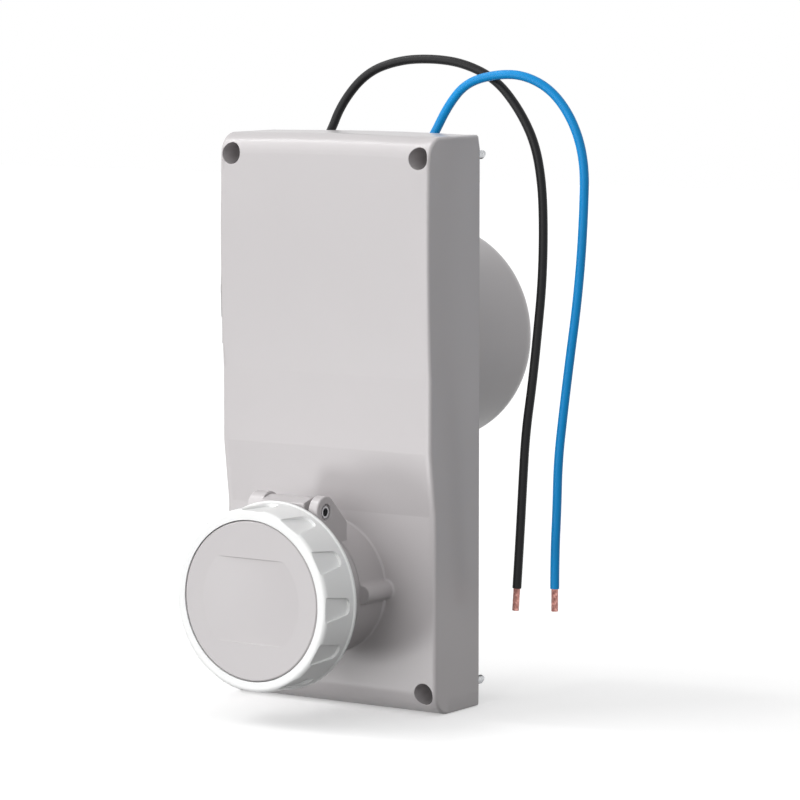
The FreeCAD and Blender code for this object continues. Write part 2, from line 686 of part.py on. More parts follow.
def lid_spring():
    """Torsion spring: a close coil round the pin, a tail in the lid, a leg down onto the barrel."""
    pitch = 2 * SPRING_WIRE + SPRING_COIL_GAP
    height = pitch * SPRING_TURNS
    start_x = spring_room()[0] + HINGE_GAP + SPRING_WIRE
    helix = Part.makeHelix(pitch, height, SPRING_COIL, 0, True)
    profile = Part.Wire(Part.makeCircle(SPRING_WIRE, Vector(SPRING_COIL, 0, 0), Vector(0, 1, 0)))
    coil = Part.Wire(helix.Edges).makePipeShell([profile], True, True)
    tail = Part.makeCylinder(SPRING_WIRE, SPRING_TAIL, Vector(SPRING_COIL, 0, 0), Vector(0, 0, -1))
    barrel_top = math.sqrt(BARREL_RADIUS ** 2 - (start_x + height) ** 2)
    reach = PIN_HEIGHT - barrel_top - HINGE_GAP
    leg = Part.makeCylinder(SPRING_WIRE, reach, Vector(SPRING_COIL, 0, height), Vector(0, -1, 0))
    spring = coil.Solids[0].fuse([tail, leg])
    spring.rotate(Vector(0, 0, 0), Vector(0, 1, 0), 90)
    spring.rotate(Vector(0, 0, 0), Vector(1, 0, 0), 90)
    spring.translate(Vector(start_x, -PIN_DEPTH, PIN_Z))
    return one(spring)


def lid_cap():
    inner = LID_FRONT - LID_THICKNESS
    skirt = LID_RADIUS - SKIRT_WALL
    rib_out = SEAL_OUTER + SEAL_RIB
    rib_in = SEAL_INNER - SEAL_RIB
    profile = [(0, LID_FRONT), (LID_RADIUS - LID_EDGE, LID_FRONT), (LID_RADIUS, LID_FRONT - LID_EDGE)]
    profile += [(LID_RADIUS, SKIRT_BACK), (skirt, SKIRT_BACK), (skirt, inner), (rib_out, inner)]
    profile += [(rib_out, SEAL_RIB_BACK), (SEAL_OUTER, SEAL_RIB_BACK), (SEAL_OUTER, inner)]
    profile += [(SEAL_INNER, inner), (SEAL_INNER, SEAL_RIB_BACK), (rib_in, SEAL_RIB_BACK)]
    profile += [(rib_in, inner), (0, inner)]
    cap = lathe(profile, SOCKET_Z)

    # Hinge arm: a curved tongue under the ring, then a head with the barrel that takes the pin
    left = -KNUCKLE_LEFT_INNER + HINGE_GAP
    seat = spring_room()[0]
    low = SOCKET_Z + ARM_INNER
    root = SKIRT_BACK + ARM_ROOT
    under = block(left, ARM_RIGHT, root, PIN_DEPTH, low, SOCKET_Z + LID_RADIUS)
    under = under.common(cylinder(LID_RADIUS, root, PIN_DEPTH, 0, SOCKET_Z))
    shoulder = (ARM_HEAD_FRONT, PIN_Z + ARM_SHOULDER)
    centre = (PIN_DEPTH, PIN_Z)
    touch = tangent_point(shoulder, centre, ARM_BARREL_RADIUS, 1)
    head = prism_x([(PIN_DEPTH, low), (ARM_HEAD_FRONT, low), shoulder, touch, centre], left, ARM_RIGHT)
    front = pick(head, lambda b: near(b.YMin, -ARM_HEAD_FRONT) and near(b.YMax, -ARM_HEAD_FRONT)
                 and not near(b.ZMax, low))
    head = head.makeFillet(ARM_ROUND, front)
    barrel = cross_bar(ARM_BARREL_RADIUS, left, ARM_RIGHT, PIN_DEPTH, PIN_Z)
    cap = cap.fuse([under, head, barrel])
    end = ARM_RIGHT + OVER
    cap = cap.cut(cross_bar(PIN_RADIUS + PIN_RUNNING_FIT, left - OVER, end, PIN_DEPTH, PIN_Z))

    # Room for the spring under a hood that is open behind, and the hole for its tail
    cap = cap.cut(cross_bar(SPRING_COIL + SPRING_WIRE + HINGE_GAP, seat, end, PIN_DEPTH, PIN_Z))
    hood_back = PIN_DEPTH + SPRING_HOOD
    cap = cap.cut(block(seat, end, hood_back, PIN_DEPTH - KNUCKLE_RADIUS, low - OVER, PIN_Z + KNUCKLE_RADIUS))
    tail_room = SPRING_WIRE + SPRING_HOLE_PLAY
    cap = cap.cut(cross_bar(tail_room, seat - SPRING_TAIL, end, PIN_DEPTH - SPRING_COIL, PIN_Z))

    # Groove for the retainer, shallow dish in the front between two chords
    groove_front = RETAINER_FRONT + RETAINER_SEAT
    groove_back = RETAINER_FRONT - RETAINER_THICKNESS - RETAINER_SEAT
    groove = cylinder(LID_RADIUS + OVER, groove_front, groove_back, 0, SOCKET_Z)
    core = RETAINER_INNER - RETAINER_SEAT
    groove = groove.cut(cylinder(core, groove_front + OVER, SKIRT_BACK, 0, SOCKET_Z))
    cap = cap.cut(groove)
    ball = (RECESS_RADIUS ** 2 + RECESS_DEPTH ** 2) / (2 * RECESS_DEPTH)
    dish = Part.makeSphere(ball, Vector(0, RECESS_DEPTH - LID_FRONT - ball, SOCKET_Z))
    band = block(-LID_RADIUS, LID_RADIUS, LID_FRONT + OVER, LID_FRONT - RECESS_DEPTH - OVER,
                 SOCKET_Z - RECESS_CHORD, SOCKET_Z + RECESS_CHORD)
    cap = cap.cut(dish.common(band))
    return one(cap)


def lid_seal():
    inner = LID_FRONT - LID_THICKNESS
    face = MOUTH + SEAL_GAP
    middle = (SEAL_INNER + SEAL_OUTER) / 2
    side = face + SEAL_LIP_RISE
    profile = [(SEAL_INNER, inner), (SEAL_OUTER, inner), (SEAL_OUTER, side), (middle + SEAL_LIP_HALF, face)]
    profile += [(middle - SEAL_LIP_HALF, face), (SEAL_INNER, side)]
    return lathe(profile, SOCKET_Z)


def grip_pocket():
    """Cutter for one grip pocket, at the right of the ring: it narrows to a rounded rear end."""
    front = LID_FRONT + OVER
    outline = [(front, POCKET_HALF_WIDTH), (POCKET_BACK, POCKET_REAR_HALF_WIDTH)]
    outline += [(POCKET_BACK, -POCKET_REAR_HALF_WIDTH), (front, -POCKET_HALF_WIDTH)]
    cutter = prism_x(outline, POCKET_FLOOR, RING_LIP_RADIUS + OVER)
    corners = [edge for edge in at_depth(cutter, POCKET_BACK) if near(edge.BoundBox.ZLength, 0)]
    return cutter.makeFillet(POCKET_CORNER, corners)


def bayonet_ring():
    bore = LID_RADIUS + RING_PLAY
    nose = LID_FRONT - RING_NOSE
    round_mid = RING_NOSE * (1 - math.sqrt(0.5))
    groove = RETAINER_OUTER + RETAINER_PLAY
    groove_front = RETAINER_FRONT + RETAINER_PLAY
    groove_back = RETAINER_FRONT - RETAINER_THICKNESS - RETAINER_PLAY

    def point(radius, depth):
        return Vector(radius, -depth, 0)

    edges = [
        Part.makeLine(point(bore, LID_FRONT), point(RING_FRONT_RADIUS - RING_NOSE, LID_FRONT)),
        Part.Arc(point(RING_FRONT_RADIUS - RING_NOSE, LID_FRONT),
                 point(RING_FRONT_RADIUS - round_mid, LID_FRONT - round_mid),
                 point(RING_FRONT_RADIUS, nose)).toShape(),
    ]
    outline = [(RING_FRONT_RADIUS, nose), (RING_BACK_RADIUS, RING_BACK + RING_BEAD_FRONT)]
    outline += [(RING_LIP_RADIUS, RING_BACK + RING_BEAD_CREST), (RING_LIP_RADIUS, RING_BACK + RING_BEAD_EDGE)]
    outline += [(RING_LIP_RADIUS - RING_BEAD_EDGE, RING_BACK), (bore, RING_BACK)]
    outline += [(bore, groove_back), (groove, groove_back), (groove, groove_front), (bore, groove_front)]
    outline.append((bore, LID_FRONT))
    edges += [Part.makeLine(point(*a), point(*b)) for a, b in zip(outline[:-1], outline[1:])]
    ring = Part.Face(Part.Wire(edges)).revolve(Vector(0, 0, 0), Vector(0, 1, 0), 360)
    for number in range(POCKET_COUNT):
        cutter = grip_pocket()
        cutter.rotate(Vector(0, 0, 0), Vector(0, -1, 0), POCKET_FIRST + number * 360 / POCKET_COUNT)
        ring = ring.cut(cutter)
    ring.translate(Vector(0, 0, SOCKET_Z))
    lug_back = RING_BACK + LUG_GAP
    for turn in (0, 180):
        lug = sector(LUG_INNER, bore + LUG_ROOT, lug_back + LUG_THICKNESS, lug_back, LUG_CENTRE + turn,
                     LUG_HALF_ANGLE, SOCKET_Z)
        ring = ring.fuse(lug)
    return one(ring)


def ring_retainer():
    back = RETAINER_FRONT - RETAINER_THICKNESS
    ring = cylinder(RETAINER_OUTER, RETAINER_FRONT, back, 0, SOCKET_Z)
    ring = ring.cut(cylinder(RETAINER_INNER, RETAINER_FRONT + OVER, back - OVER, 0, SOCKET_Z))
    split = block(-RETAINER_SPLIT / 2, RETAINER_SPLIT / 2, RETAINER_FRONT + OVER, back - OVER,
                  SOCKET_Z - RETAINER_OUTER, SOCKET_Z)
    return one(ring.cut(split))


def flange_front():
    return PANEL_BACK - CARRIER_SEAL_THICKNESS


def contact_carrier():
    front = flange_front()
    back = front - FLANGE_THICKNESS
    collar = BORE_RADIUS - CARRIER_PLAY
    profile = [(0, TOWER_FRONT), (TOWER_RADIUS - TOWER_EDGE, TOWER_FRONT)]
    profile += [(TOWER_RADIUS, TOWER_FRONT - TOWER_EDGE), (TOWER_RADIUS, TOWER_FOOT), (collar, TOWER_FOOT)]
    profile += [(collar, front), (FLANGE_RADIUS, front)]
    profile += [(FLANGE_RADIUS, back), (HUB_RADIUS, back), (HUB_RADIUS, HUB_BACK), (0, HUB_BACK)]
    carrier = lathe(profile, SOCKET_Z)
    half = TERMINAL_SIZE / 2 + CARRIER_PLAY
    for side in (-1, 1):
        x = side * CONTACT_OFFSET
        carrier = carrier.cut(cylinder(CONTACT_ENTRY, TOWER_FRONT + OVER, HUB_BACK, x, SOCKET_Z))
        seat = CONTACT_RADIUS + CONTACT_PLAY
        carrier = carrier.cut(cylinder(seat, CONTACT_FRONT, HUB_BACK - OVER, x, SOCKET_Z))
        pocket = block(x - half, x + half, HUB_BACK + TERMINAL_SIZE + CARRIER_PLAY, HUB_BACK - OVER,
                       SOCKET_Z - half, SOCKET_Z + HUB_RADIUS + OVER)
        carrier = carrier.cut(pocket)
        hole = cylinder(SMALL_CLEARANCE_HOLE, front + OVER, back - OVER, side * BOSS_OFFSET, SOCKET_Z)
        carrier = carrier.cut(hole)
    return one(carrier)


def carrier_seal():
    back = flange_front()
    inner = BORE_RADIUS + CARRIER_PLAY
    ring = cylinder(inner + CARRIER_SEAL_WIDTH, PANEL_BACK, back, 0, SOCKET_Z)
    return ring.cut(cylinder(inner, PANEL_BACK + OVER, back - OVER, 0, SOCKET_Z))


def carrier_screws():
    seat = flange_front() - FLANGE_THICKNESS
    tip = PANEL_BACK + BOSS_HOLE_DEPTH - HOLE_SPARE
    return group([screw(side * BOSS_OFFSET, SOCKET_Z, seat, tip, SMALL_SCREW_RADIUS,
                        SMALL_HEAD_RADIUS, SMALL_HEAD_HEIGHT) for side in (-1, 1)])


def contact_sleeve(side):
    """Turned brass sleeve with a square terminal head that takes its wire from above."""
    x = side * CONTACT_OFFSET
    half = TERMINAL_SIZE / 2
    foot = HUB_BACK + TERMINAL_SIZE
    sleeve = cylinder(CONTACT_RADIUS, CONTACT_FRONT, foot, x, SOCKET_Z)
    sleeve = sleeve.fuse(block(x - half, x + half, foot, HUB_BACK, SOCKET_Z - half, SOCKET_Z + half))
    bore_end = CONTACT_FRONT - CONTACT_DEPTH
    sleeve = sleeve.cut(cylinder(CONTACT_BORE, CONTACT_FRONT + OVER, bore_end, x, SOCKET_Z))
    middle = HUB_BACK + TERMINAL_SIZE / 2
    wire_foot = Vector(x, -middle, SOCKET_Z - OVER)
    sleeve = sleeve.cut(Part.makeCylinder(WIRE_RADIUS + LEAD_PLAY, half + 2 * OVER, wire_foot))
    screw_z = SOCKET_Z + TERMINAL_SCREW_RISE
    sleeve = sleeve.cut(cylinder(TERMINAL_SCREW_RADIUS, middle, HUB_BACK - OVER, x, screw_z))
    return one(sleeve)


def terminal_screws():
    tip = HUB_BACK + TERMINAL_SIZE / 2 - WIRE_RADIUS - 2 * LEAD_PLAY
    radius = TERMINAL_SCREW_RADIUS - TERMINAL_SCREW_PLAY
    return group([screw(side * CONTACT_OFFSET, SOCKET_Z + TERMINAL_SCREW_RISE, HUB_BACK, tip, radius,
                        TERMINAL_HEAD_RADIUS, TERMINAL_HEAD_HEIGHT) for side in (-1, 1)])


def boss_top():
    return -(CUP_END - CUP_END_WALL - CUP_BOSS_HEIGHT)


def lug_plates(front, back):
    """Four round-ended lugs that stand out from the cup's rim or its cover."""
    plates = []
    for x, z in cup_lugs():
        web = Part.makeBox(2 * LUG_RADIUS, front - back, 2 * LUG_RADIUS,
                           Vector(-LUG_RADIUS, -front, -2 * LUG_RADIUS))
        web.rotate(Vector(0, 0, 0), Vector(0, 1, 0), math.degrees(math.atan2(x, z - CUP_Z)))
        web.translate(Vector(x, 0, z))
        plates += [cylinder(LUG_RADIUS, front, back, x, z), web]
    return plates


def transformer_cup():
    shell = cylinder(CUP_RADIUS, CUP_RIM, -CUP_END, 0, CUP_Z)
    shell = shell.makeFillet(CUP_ROLL, at_depth(shell, -CUP_END))
    shell = shell.fuse(lug_plates(CUP_RIM, 0))
    floor = -(CUP_END - CUP_END_WALL)
    inside = cylinder(CUP_RADIUS - CUP_WALL, CUP_RIM, floor, 0, CUP_Z)
    inside = inside.makeFillet(CUP_ROLL - CUP_WALL, at_depth(inside, floor))
    shell = shell.cut(inside)
    shell = shell.fuse(cylinder(CUP_BOSS_RADIUS, boss_top(), floor - OVER, 0, CUP_Z))
    hole_end = boss_top() - INSERT_LENGTH - HOLE_SPARE
    shell = shell.cut(cylinder(INSERT_RADIUS, boss_top() + OVER, hole_end, 0, CUP_Z))
    for x, z in cup_lugs():
        shell = shell.cut(cylinder(SMALL_CLEARANCE_HOLE, CUP_RIM + OVER, -OVER, x, z))
    return one(shell)


def cup_cover():
    back = CUP_RIM
    front = CUP_RIM + COVER_THICKNESS
    disc = cylinder(CUP_RADIUS, front, back, 0, CUP_Z).fuse(lug_plates(front, back))
    spigot = CUP_RADIUS - CUP_WALL - CARRIER_PLAY
    disc = disc.fuse(cylinder(spigot, back, back - COVER_SPIGOT, 0, CUP_Z))
    for x, z in cup_lugs():
        disc = disc.cut(cylinder(SMALL_CLEARANCE_HOLE, front + OVER, back - OVER, x, z))
    return one(disc)


def cup_screws():
    return group([screw(x, z, 0, CUP_SCREW_LENGTH, SMALL_SCREW_RADIUS, SMALL_HEAD_RADIUS, SMALL_HEAD_HEIGHT)
                  for x, z in cup_lugs()])


def toroid_back():
    return -(CUP_END - CUP_END_WALL - PAD_THICKNESS)


def toroid_front():
    return toroid_back() + TOROID_HEIGHT


def toroid_winding():
    front = toroid_front()
    back = toroid_back()
    outer = cylinder(TOROID_RADIUS, front, back, 0, CUP_Z)
    outer = outer.cut(cylinder(TOROID_HOLE, front + OVER, back - OVER, 0, CUP_Z))
    outer = outer.makeFillet(TOROID_ROUND, at_depth(outer, front) + at_depth(outer, back))
    inner = TOROID_HOLE + WINDING_THICKNESS
    hollow = cylinder(TOROID_RADIUS - WINDING_THICKNESS, front - WINDING_THICKNESS,
                      back + WINDING_THICKNESS, 0, CUP_Z)
    hollow = hollow.cut(cylinder(inner, front, back, 0, CUP_Z))
    return one(outer.cut(hollow))


def toroid_core():
    front = toroid_front() - WINDING_THICKNESS - CORE_PLAY
    back = toroid_back() + WINDING_THICKNESS + CORE_PLAY
    inner = TOROID_HOLE + WINDING_THICKNESS + CORE_PLAY
    core = cylinder(TOROID_RADIUS - WINDING_THICKNESS - CORE_PLAY, front, back, 0, CUP_Z)
    return core.cut(cylinder(inner, front + OVER, back - OVER, 0, CUP_Z))


def toroid_pad(front):
    back = front - PAD_THICKNESS
    pad = cylinder(PAD_RADIUS, front, back, 0, CUP_Z)
    return pad.cut(cylinder(PAD_HOLE, front + OVER, back - OVER, 0, CUP_Z))


def dish_floor():
    """Depth of the front of the dished disc's floor, where the bolt's head sits."""
    return toroid_front() + PAD_THICKNESS + DISC_THICKNESS - DISH_DEPTH


def clamp_disc():
    rim_back = toroid_front() + PAD_THICKNESS
    rim_front = rim_back + DISC_THICKNESS
    floor = dish_floor()
    hole = BOLT_RADIUS + BOLT_PLAY
    dish = TOROID_HOLE - DISH_STEP
    profile = [(hole, floor), (DISH_RADIUS - DISH_STEP, floor), (dish - DISH_STEP, rim_front)]
    profile += [(DISC_RADIUS, rim_front), (DISC_RADIUS, rim_back), (dish, rim_back)]
    profile += [(DISH_RADIUS, floor - DISC_THICKNESS), (hole, floor - DISC_THICKNESS)]
    return lathe(profile, CUP_Z)


def clamp_bolt():
    seat = dish_floor()
    corner = BOLT_HEAD / math.cos(math.pi / 6)
    corners = []
    for number in range(6):
        a = math.radians(60 * number)
        corners.append(Vector(corner * math.cos(a), -seat, CUP_Z + corner * math.sin(a)))
    head = Part.Face(Part.makePolygon(corners + corners[:1])).extrude(Vector(0, -BOLT_HEAD_HEIGHT, 0))
    shank = cylinder(BOLT_RADIUS, seat, boss_top() - INSERT_LENGTH + HOLE_SPARE, 0, CUP_Z)
    return one(head.fuse(shank))


def bolt_insert():
    front = boss_top()
    sleeve = cylinder(INSERT_RADIUS, front, front - INSERT_LENGTH, 0, CUP_Z)
    return sleeve.cut(cylinder(BOLT_RADIUS, front + OVER, front - INSERT_LENGTH - OVER, 0, CUP_Z))


def lead_saddles():
    saddles = []
    front = WIRE_PLANE - SADDLE_SPLIT / 2
    for x in anchors():
        saddle = block(x - ANCHOR_HALF_WIDTH, x + ANCHOR_HALF_WIDTH, front, SADDLE_BACK,
                       ANCHOR_TOP - ANCHOR_HEIGHT, ANCHOR_TOP)
        saddle = saddle.makeFillet(SADDLE_ROUND, at_depth(saddle, SADDLE_BACK)).cut(lead_groove(x))
        for screw_x, screw_z in anchor_screw_places():
            hole = cylinder(SMALL_CLEARANCE_HOLE, front + OVER, SADDLE_BACK - OVER, screw_x, screw_z)
            saddle = saddle.cut(hole)
        saddles.append(one(saddle))
    return group(saddles)


def saddle_screws():
    tip = SADDLE_BACK + SADDLE_SCREW_LENGTH
    return group([screw(x, z, SADDLE_BACK, tip, SMALL_SCREW_RADIUS, SADDLE_HEAD_RADIUS, SMALL_HEAD_HEIGHT)
                  for x, z in anchor_screw_places()])


def tube(points, radius, bends):
    """Round tube along straight runs joined by tangent arcs of the given radii."""
    points = [Vector(*p) for p in points]
    edges = []
    here = points[0]
    for before, corner, after, bend in zip(points[:-2], points[1:-1], points[2:], bends):
        into = (corner - before).normalize()
        out = (after - corner).normalize()
        turn = into.getAngle(out)
        setback = bend * math.tan(turn / 2)
        start = corner - into * setback
        end = corner + out * setback
        to_centre = (out - into).normalize() * (bend / math.cos(turn / 2))
        middle = corner + to_centre - to_centre.normalize() * bend
        edges.append(Part.LineSegment(here, start).toShape())
        edges.append(Part.Arc(start, middle, end).toShape())
        here = end
    edges.append(Part.LineSegment(here, points[-1]).toShape())
    path = Part.Wire(edges)
    section = Part.Wire(Part.makeCircle(radius, points[0], points[1] - points[0]))
    return path.makePipeShell([section], True, False).Solids[0], path.Length


def bend_radii(points):
    """Each bend as wide as its two runs allow."""
    points = [Vector(*p) for p in points]
    radii = []
    for before, corner, after in zip(points[:-2], points[1:-1], points[2:]):
        into = corner - before
        out = after - corner
        radii.append(BEND_SHARE * min(into.Length, out.Length) / math.tan(into.getAngle(out) / 2))
    return radii


def from_top(route):
    """Points of a lead's route in the socket's frame."""
    return [(x, y, TOP + rise) for x, y, rise in route]


def supply_lead(name, route):
    bends = bend_radii(route)
    lead, length = tube(route, LEAD_RADIUS, bends)
    expected = math.pi * LEAD_RADIUS ** 2 * length
    print(name, "length", round(length, 1), "volume over section times length",
          round(lead.Volume / expected, 4), "radii", [round(bend, 1) for bend in bends])
    return lead


def copper_end(route):
    end = Vector(*route[-1])
    along = (end - Vector(*route[-2])).normalize()
    return Part.makeCylinder(COPPER_RADIUS, COPPER_LENGTH, end, along)


def inner_lead(x):
    """From the cup's cover, forward and up to the top of the anchorage."""
    start = CUP_RIM + COVER_THICKNESS
    foot = ANCHOR_TOP - INNER_LEAD_RUN
    route = [(x, -start, foot), (x, -WIRE_PLANE, foot), (x, -WIRE_PLANE, ANCHOR_TOP)]
    return tube(route, LEAD_RADIUS, [WIRE_BEND])[0]


def secondary_wires():
    """From the cup's cover, forward and down into the two terminals."""
    start = CUP_RIM + COVER_THICKNESS
    plane = HUB_BACK + TERMINAL_SIZE / 2
    top = CUP_Z - SECONDARY_DROP
    wires = []
    for side in (-1, 1):
        x = side * CONTACT_OFFSET
        route = [(x, -start, top), (x, -plane, top), (x, -plane, SOCKET_Z)]
        wires.append(tube(route, WIRE_RADIUS, [WIRE_BEND])[0])
    return group(wires)


PIECES = {
    "cover_housing": cover_housing(),
    "rear_gasket": rear_gasket(),
    "cover_screws": cover_screws(),
    "screw_seals": screw_seals(),
    "hinge_pin": hinge_pin(),
    "lid_spring": lid_spring(),
    "lid_cap": lid_cap(),
    "lid_seal": lid_seal(),
    "bayonet_ring": bayonet_ring(),
    "ring_retainer": ring_retainer(),
    "contact_carrier": contact_carrier(),
    "carrier_seal": carrier_seal(),
    "carrier_screws": carrier_screws(),
    "contact_sleeve_left": contact_sleeve(-1),
    "contact_sleeve_right": contact_sleeve(1),
    "terminal_screws": terminal_screws(),
    "transformer_cup": transformer_cup(),
    "cup_cover": cup_cover(),
    "cup_screws": cup_screws(),
    "toroid_core": toroid_core(),
    "toroid_winding": toroid_winding(),
    "toroid_pad_rear": toroid_pad(toroid_back()),
    "toroid_pad_front": toroid_pad(toroid_front() + PAD_THICKNESS),
    "clamp_disc": clamp_disc(),
    "clamp_bolt": clamp_bolt(),
    "bolt_insert": bolt_insert(),
    "lead_saddles": lead_saddles(),
    "saddle_screws": saddle_screws(),
    "lead_black": supply_lead("lead_black", from_top(BLACK_ROUTE)),
    "lead_blue": supply_lead("lead_blue", from_top(BLUE_ROUTE)),
    "black_copper_end": copper_end(from_top(BLACK_ROUTE)),
    "blue_copper_end": copper_end(from_top(BLUE_ROUTE)),
    "inner_lead_black": inner_lead(BLACK_ROUTE[0][0]),
    "inner_lead_blue": inner_lead(BLUE_ROUTE[0][0]),
    "secondary_wires": secondary_wires(),
}

for name, shape in PIECES.items():
    print(name, len(shape.Solids), round(shape.Volume, 1), shape.isValid())
    shape.exportStep("parts/" + name + ".step")
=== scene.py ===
import math

import bmesh
import bpy
from mathutils import Matrix, Vector
from mathutils.bvhtree import BVHTree
from mathutils.kdtree import KDTree


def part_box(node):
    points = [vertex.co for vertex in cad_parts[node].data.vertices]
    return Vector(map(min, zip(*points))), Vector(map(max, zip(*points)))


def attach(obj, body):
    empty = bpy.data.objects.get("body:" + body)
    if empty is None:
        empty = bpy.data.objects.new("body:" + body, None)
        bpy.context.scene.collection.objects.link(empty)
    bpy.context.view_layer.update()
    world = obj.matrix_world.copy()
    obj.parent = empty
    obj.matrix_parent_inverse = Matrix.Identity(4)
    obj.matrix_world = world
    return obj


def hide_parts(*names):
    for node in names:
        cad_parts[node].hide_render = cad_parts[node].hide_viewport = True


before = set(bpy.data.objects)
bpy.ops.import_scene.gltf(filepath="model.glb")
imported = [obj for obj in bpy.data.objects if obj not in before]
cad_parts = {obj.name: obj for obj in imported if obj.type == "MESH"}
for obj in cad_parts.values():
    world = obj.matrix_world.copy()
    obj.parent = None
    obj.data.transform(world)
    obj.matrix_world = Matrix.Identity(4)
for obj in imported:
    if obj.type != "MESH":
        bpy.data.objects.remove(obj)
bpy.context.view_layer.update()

# The camera stands to the right of the socket, a little above it and a metre and a half away, with a
# long lens, so the cover's edges run almost parallel.
CAMERA_PLACE = Vector((1.0266, -1.5103, 0.2021))
CAMERA_TURN = math.radians(33.83)
CAMERA_DROP = math.radians(6.11)
CAMERA_LENS = 176.5
CAMERA_SENSOR = 36.0

sight = Vector((-math.sin(CAMERA_TURN) * math.cos(CAMERA_DROP),
                math.cos(CAMERA_TURN) * math.cos(CAMERA_DROP), -math.sin(CAMERA_DROP)))
camera = bpy.data.objects.new("camera", bpy.data.cameras.new("camera"))
camera.data.lens = CAMERA_LENS
camera.data.sensor_width = CAMERA_SENSOR
camera.location = CAMERA_PLACE
camera.rotation_euler = sight.to_track_quat("-Z", "Y").to_euler()
bpy.context.scene.collection.objects.link(camera)
bpy.context.scene.camera = camera


class Wire:
    """One socket of a finish. Sums, differences and products of wires add their Math nodes."""

    def __init__(self, finish, socket):
        self.finish = finish
        self.socket = socket

    def join(self, operation, first, second):
        return self.finish.node("ShaderNodeMath", {"operation": operation}, {0: first, 1: second})

    def __add__(self, other):
        return self.join("ADD", self, other)

    def __radd__(self, other):
        return self.join("ADD", other, self)

    def __sub__(self, other):
        return self.join("SUBTRACT", self, other)

    def __rsub__(self, other):
        return self.join("SUBTRACT", other, self)

    def __mul__(self, other):
        return self.join("MULTIPLY", self, other)

    def __rmul__(self, other):
        return self.join("MULTIPLY", other, self)

    def clipped(self, low, high):
        """The part of the wire between low and high, stretched to run from 0 to 1."""
        return self.finish.node("ShaderNodeMapRange", {"clamp": True}, {0: self, 1: low, 2: high})


class Finish:
    """A material of one shader, put together node by node."""

    def __init__(self, name):
        self.material = bpy.data.materials.new(name)
        self.material.use_nodes = True
        self.tree = self.material.node_tree
        self.tree.nodes.clear()
        self.shader = self.tree.nodes.new("ShaderNodeBsdfPrincipled")
        self.output = self.tree.nodes.new("ShaderNodeOutputMaterial")
        self.tree.links.new(self.shader.outputs[0], self.output.inputs["Surface"])

    def node(self, kind, settings, sockets, out=0):
        """Add one node: its settings first, then its sockets' values or wires."""
        made = self.tree.nodes.new(kind)
        for name, value in settings.items():
            setattr(made, name, value)
        for name, value in sockets.items():
            self.plug(made.inputs[name], value)
        return Wire(self, made.outputs[out])

    def plug(self, socket, value):
        if isinstance(value, Wire):
            self.tree.links.new(value.socket, socket)
        else:
            socket.default_value = value

    def place(self):
        return self.node("ShaderNodeTexCoord", {}, {}, out="Object")

    def noise(self, scale, detail=2.0, roughness=0.5, place=None):
        return self.node("ShaderNodeTexNoise", {}, {"Vector": place or self.place(), "Scale": scale,
                                                    "Detail": detail, "Roughness": roughness})

    def blend(self, share, first, second):
        """Mix two colours."""
        return self.node("ShaderNodeMix", {"data_type": "RGBA"}, {0: share, 6: first, 7: second}, out=2)

    def soft_edges(self, radius):
        """The surface's direction, rounded over within the radius of an edge."""
        return self.node("ShaderNodeBevel", {"samples": 6}, {"Radius": radius})

    def bump(self, height, strength, distance, base=None):
        sockets = {"Height": height, "Strength": strength, "Distance": distance}
        if base:
            sockets["Normal"] = base
        return self.node("ShaderNodeBump", {}, sockets)

    def surface(self, **sockets):
        """Set the shader's own sockets; an underscore stands for a space in a socket's name."""
        for name, value in sockets.items():
            self.plug(self.shader.inputs[name.replace("_", " ")], value)
        return self.material


# The cover stands on its lower edge on a white sheet that glows a little, between pale walls. Soft
# lamps stand in front on the left, a smaller one shines up from below, and two graze the edges. Each
# has its turn, rise and spread in degrees, and its level.
FLOOR_SIZE = 8.0
SHEET_LIT = 0.06
SHEET_SEEN = 0.85
SHEET_GLOW = 0.32
WALL_LIGHT = 0.61
LAMPS = [
    ("front_lamp", 0, 10, 40, 0.32),
    ("left_lamp", -40, 10, 40, 0.19),
    ("upper_left_lamp", -62, 42, 40, 0.28),
    ("low_lamp", -30, -14, 14, 0.14),
    ("top_edge_lamp", -76, 52, 6, 0.06),
    ("right_edge_lamp", 56, -4, 8, 0.02),
]

bpy.context.scene.view_settings.view_transform = "Standard"
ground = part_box("cover_housing")[0].z
bpy.ops.mesh.primitive_plane_add(size=FLOOR_SIZE, location=(0, 0, ground))
floor = bpy.context.object
floor.name = "floor"
sheet = Finish("white_sheet")
shown = sheet.node("ShaderNodeMath", {"operation": "MAXIMUM"},
                  {0: sheet.node("ShaderNodeLightPath", {}, {}, out="Is Camera Ray"),
                   1: sheet.node("ShaderNodeLightPath", {}, {}, out="Is Glossy Ray")})
floor.data.materials.append(sheet.surface(
    Base_Color=sheet.blend(shown, (SHEET_LIT,) * 3 + (1,), (SHEET_SEEN,) * 3 + (1,)),
    Roughness=0.9, Specular_IOR_Level=0.1, Emission_Strength=1.0,
    Emission_Color=sheet.blend(shown, (0, 0, 0, 1), (SHEET_GLOW,) * 3 + (1,))))
floor.visible_shadow = False

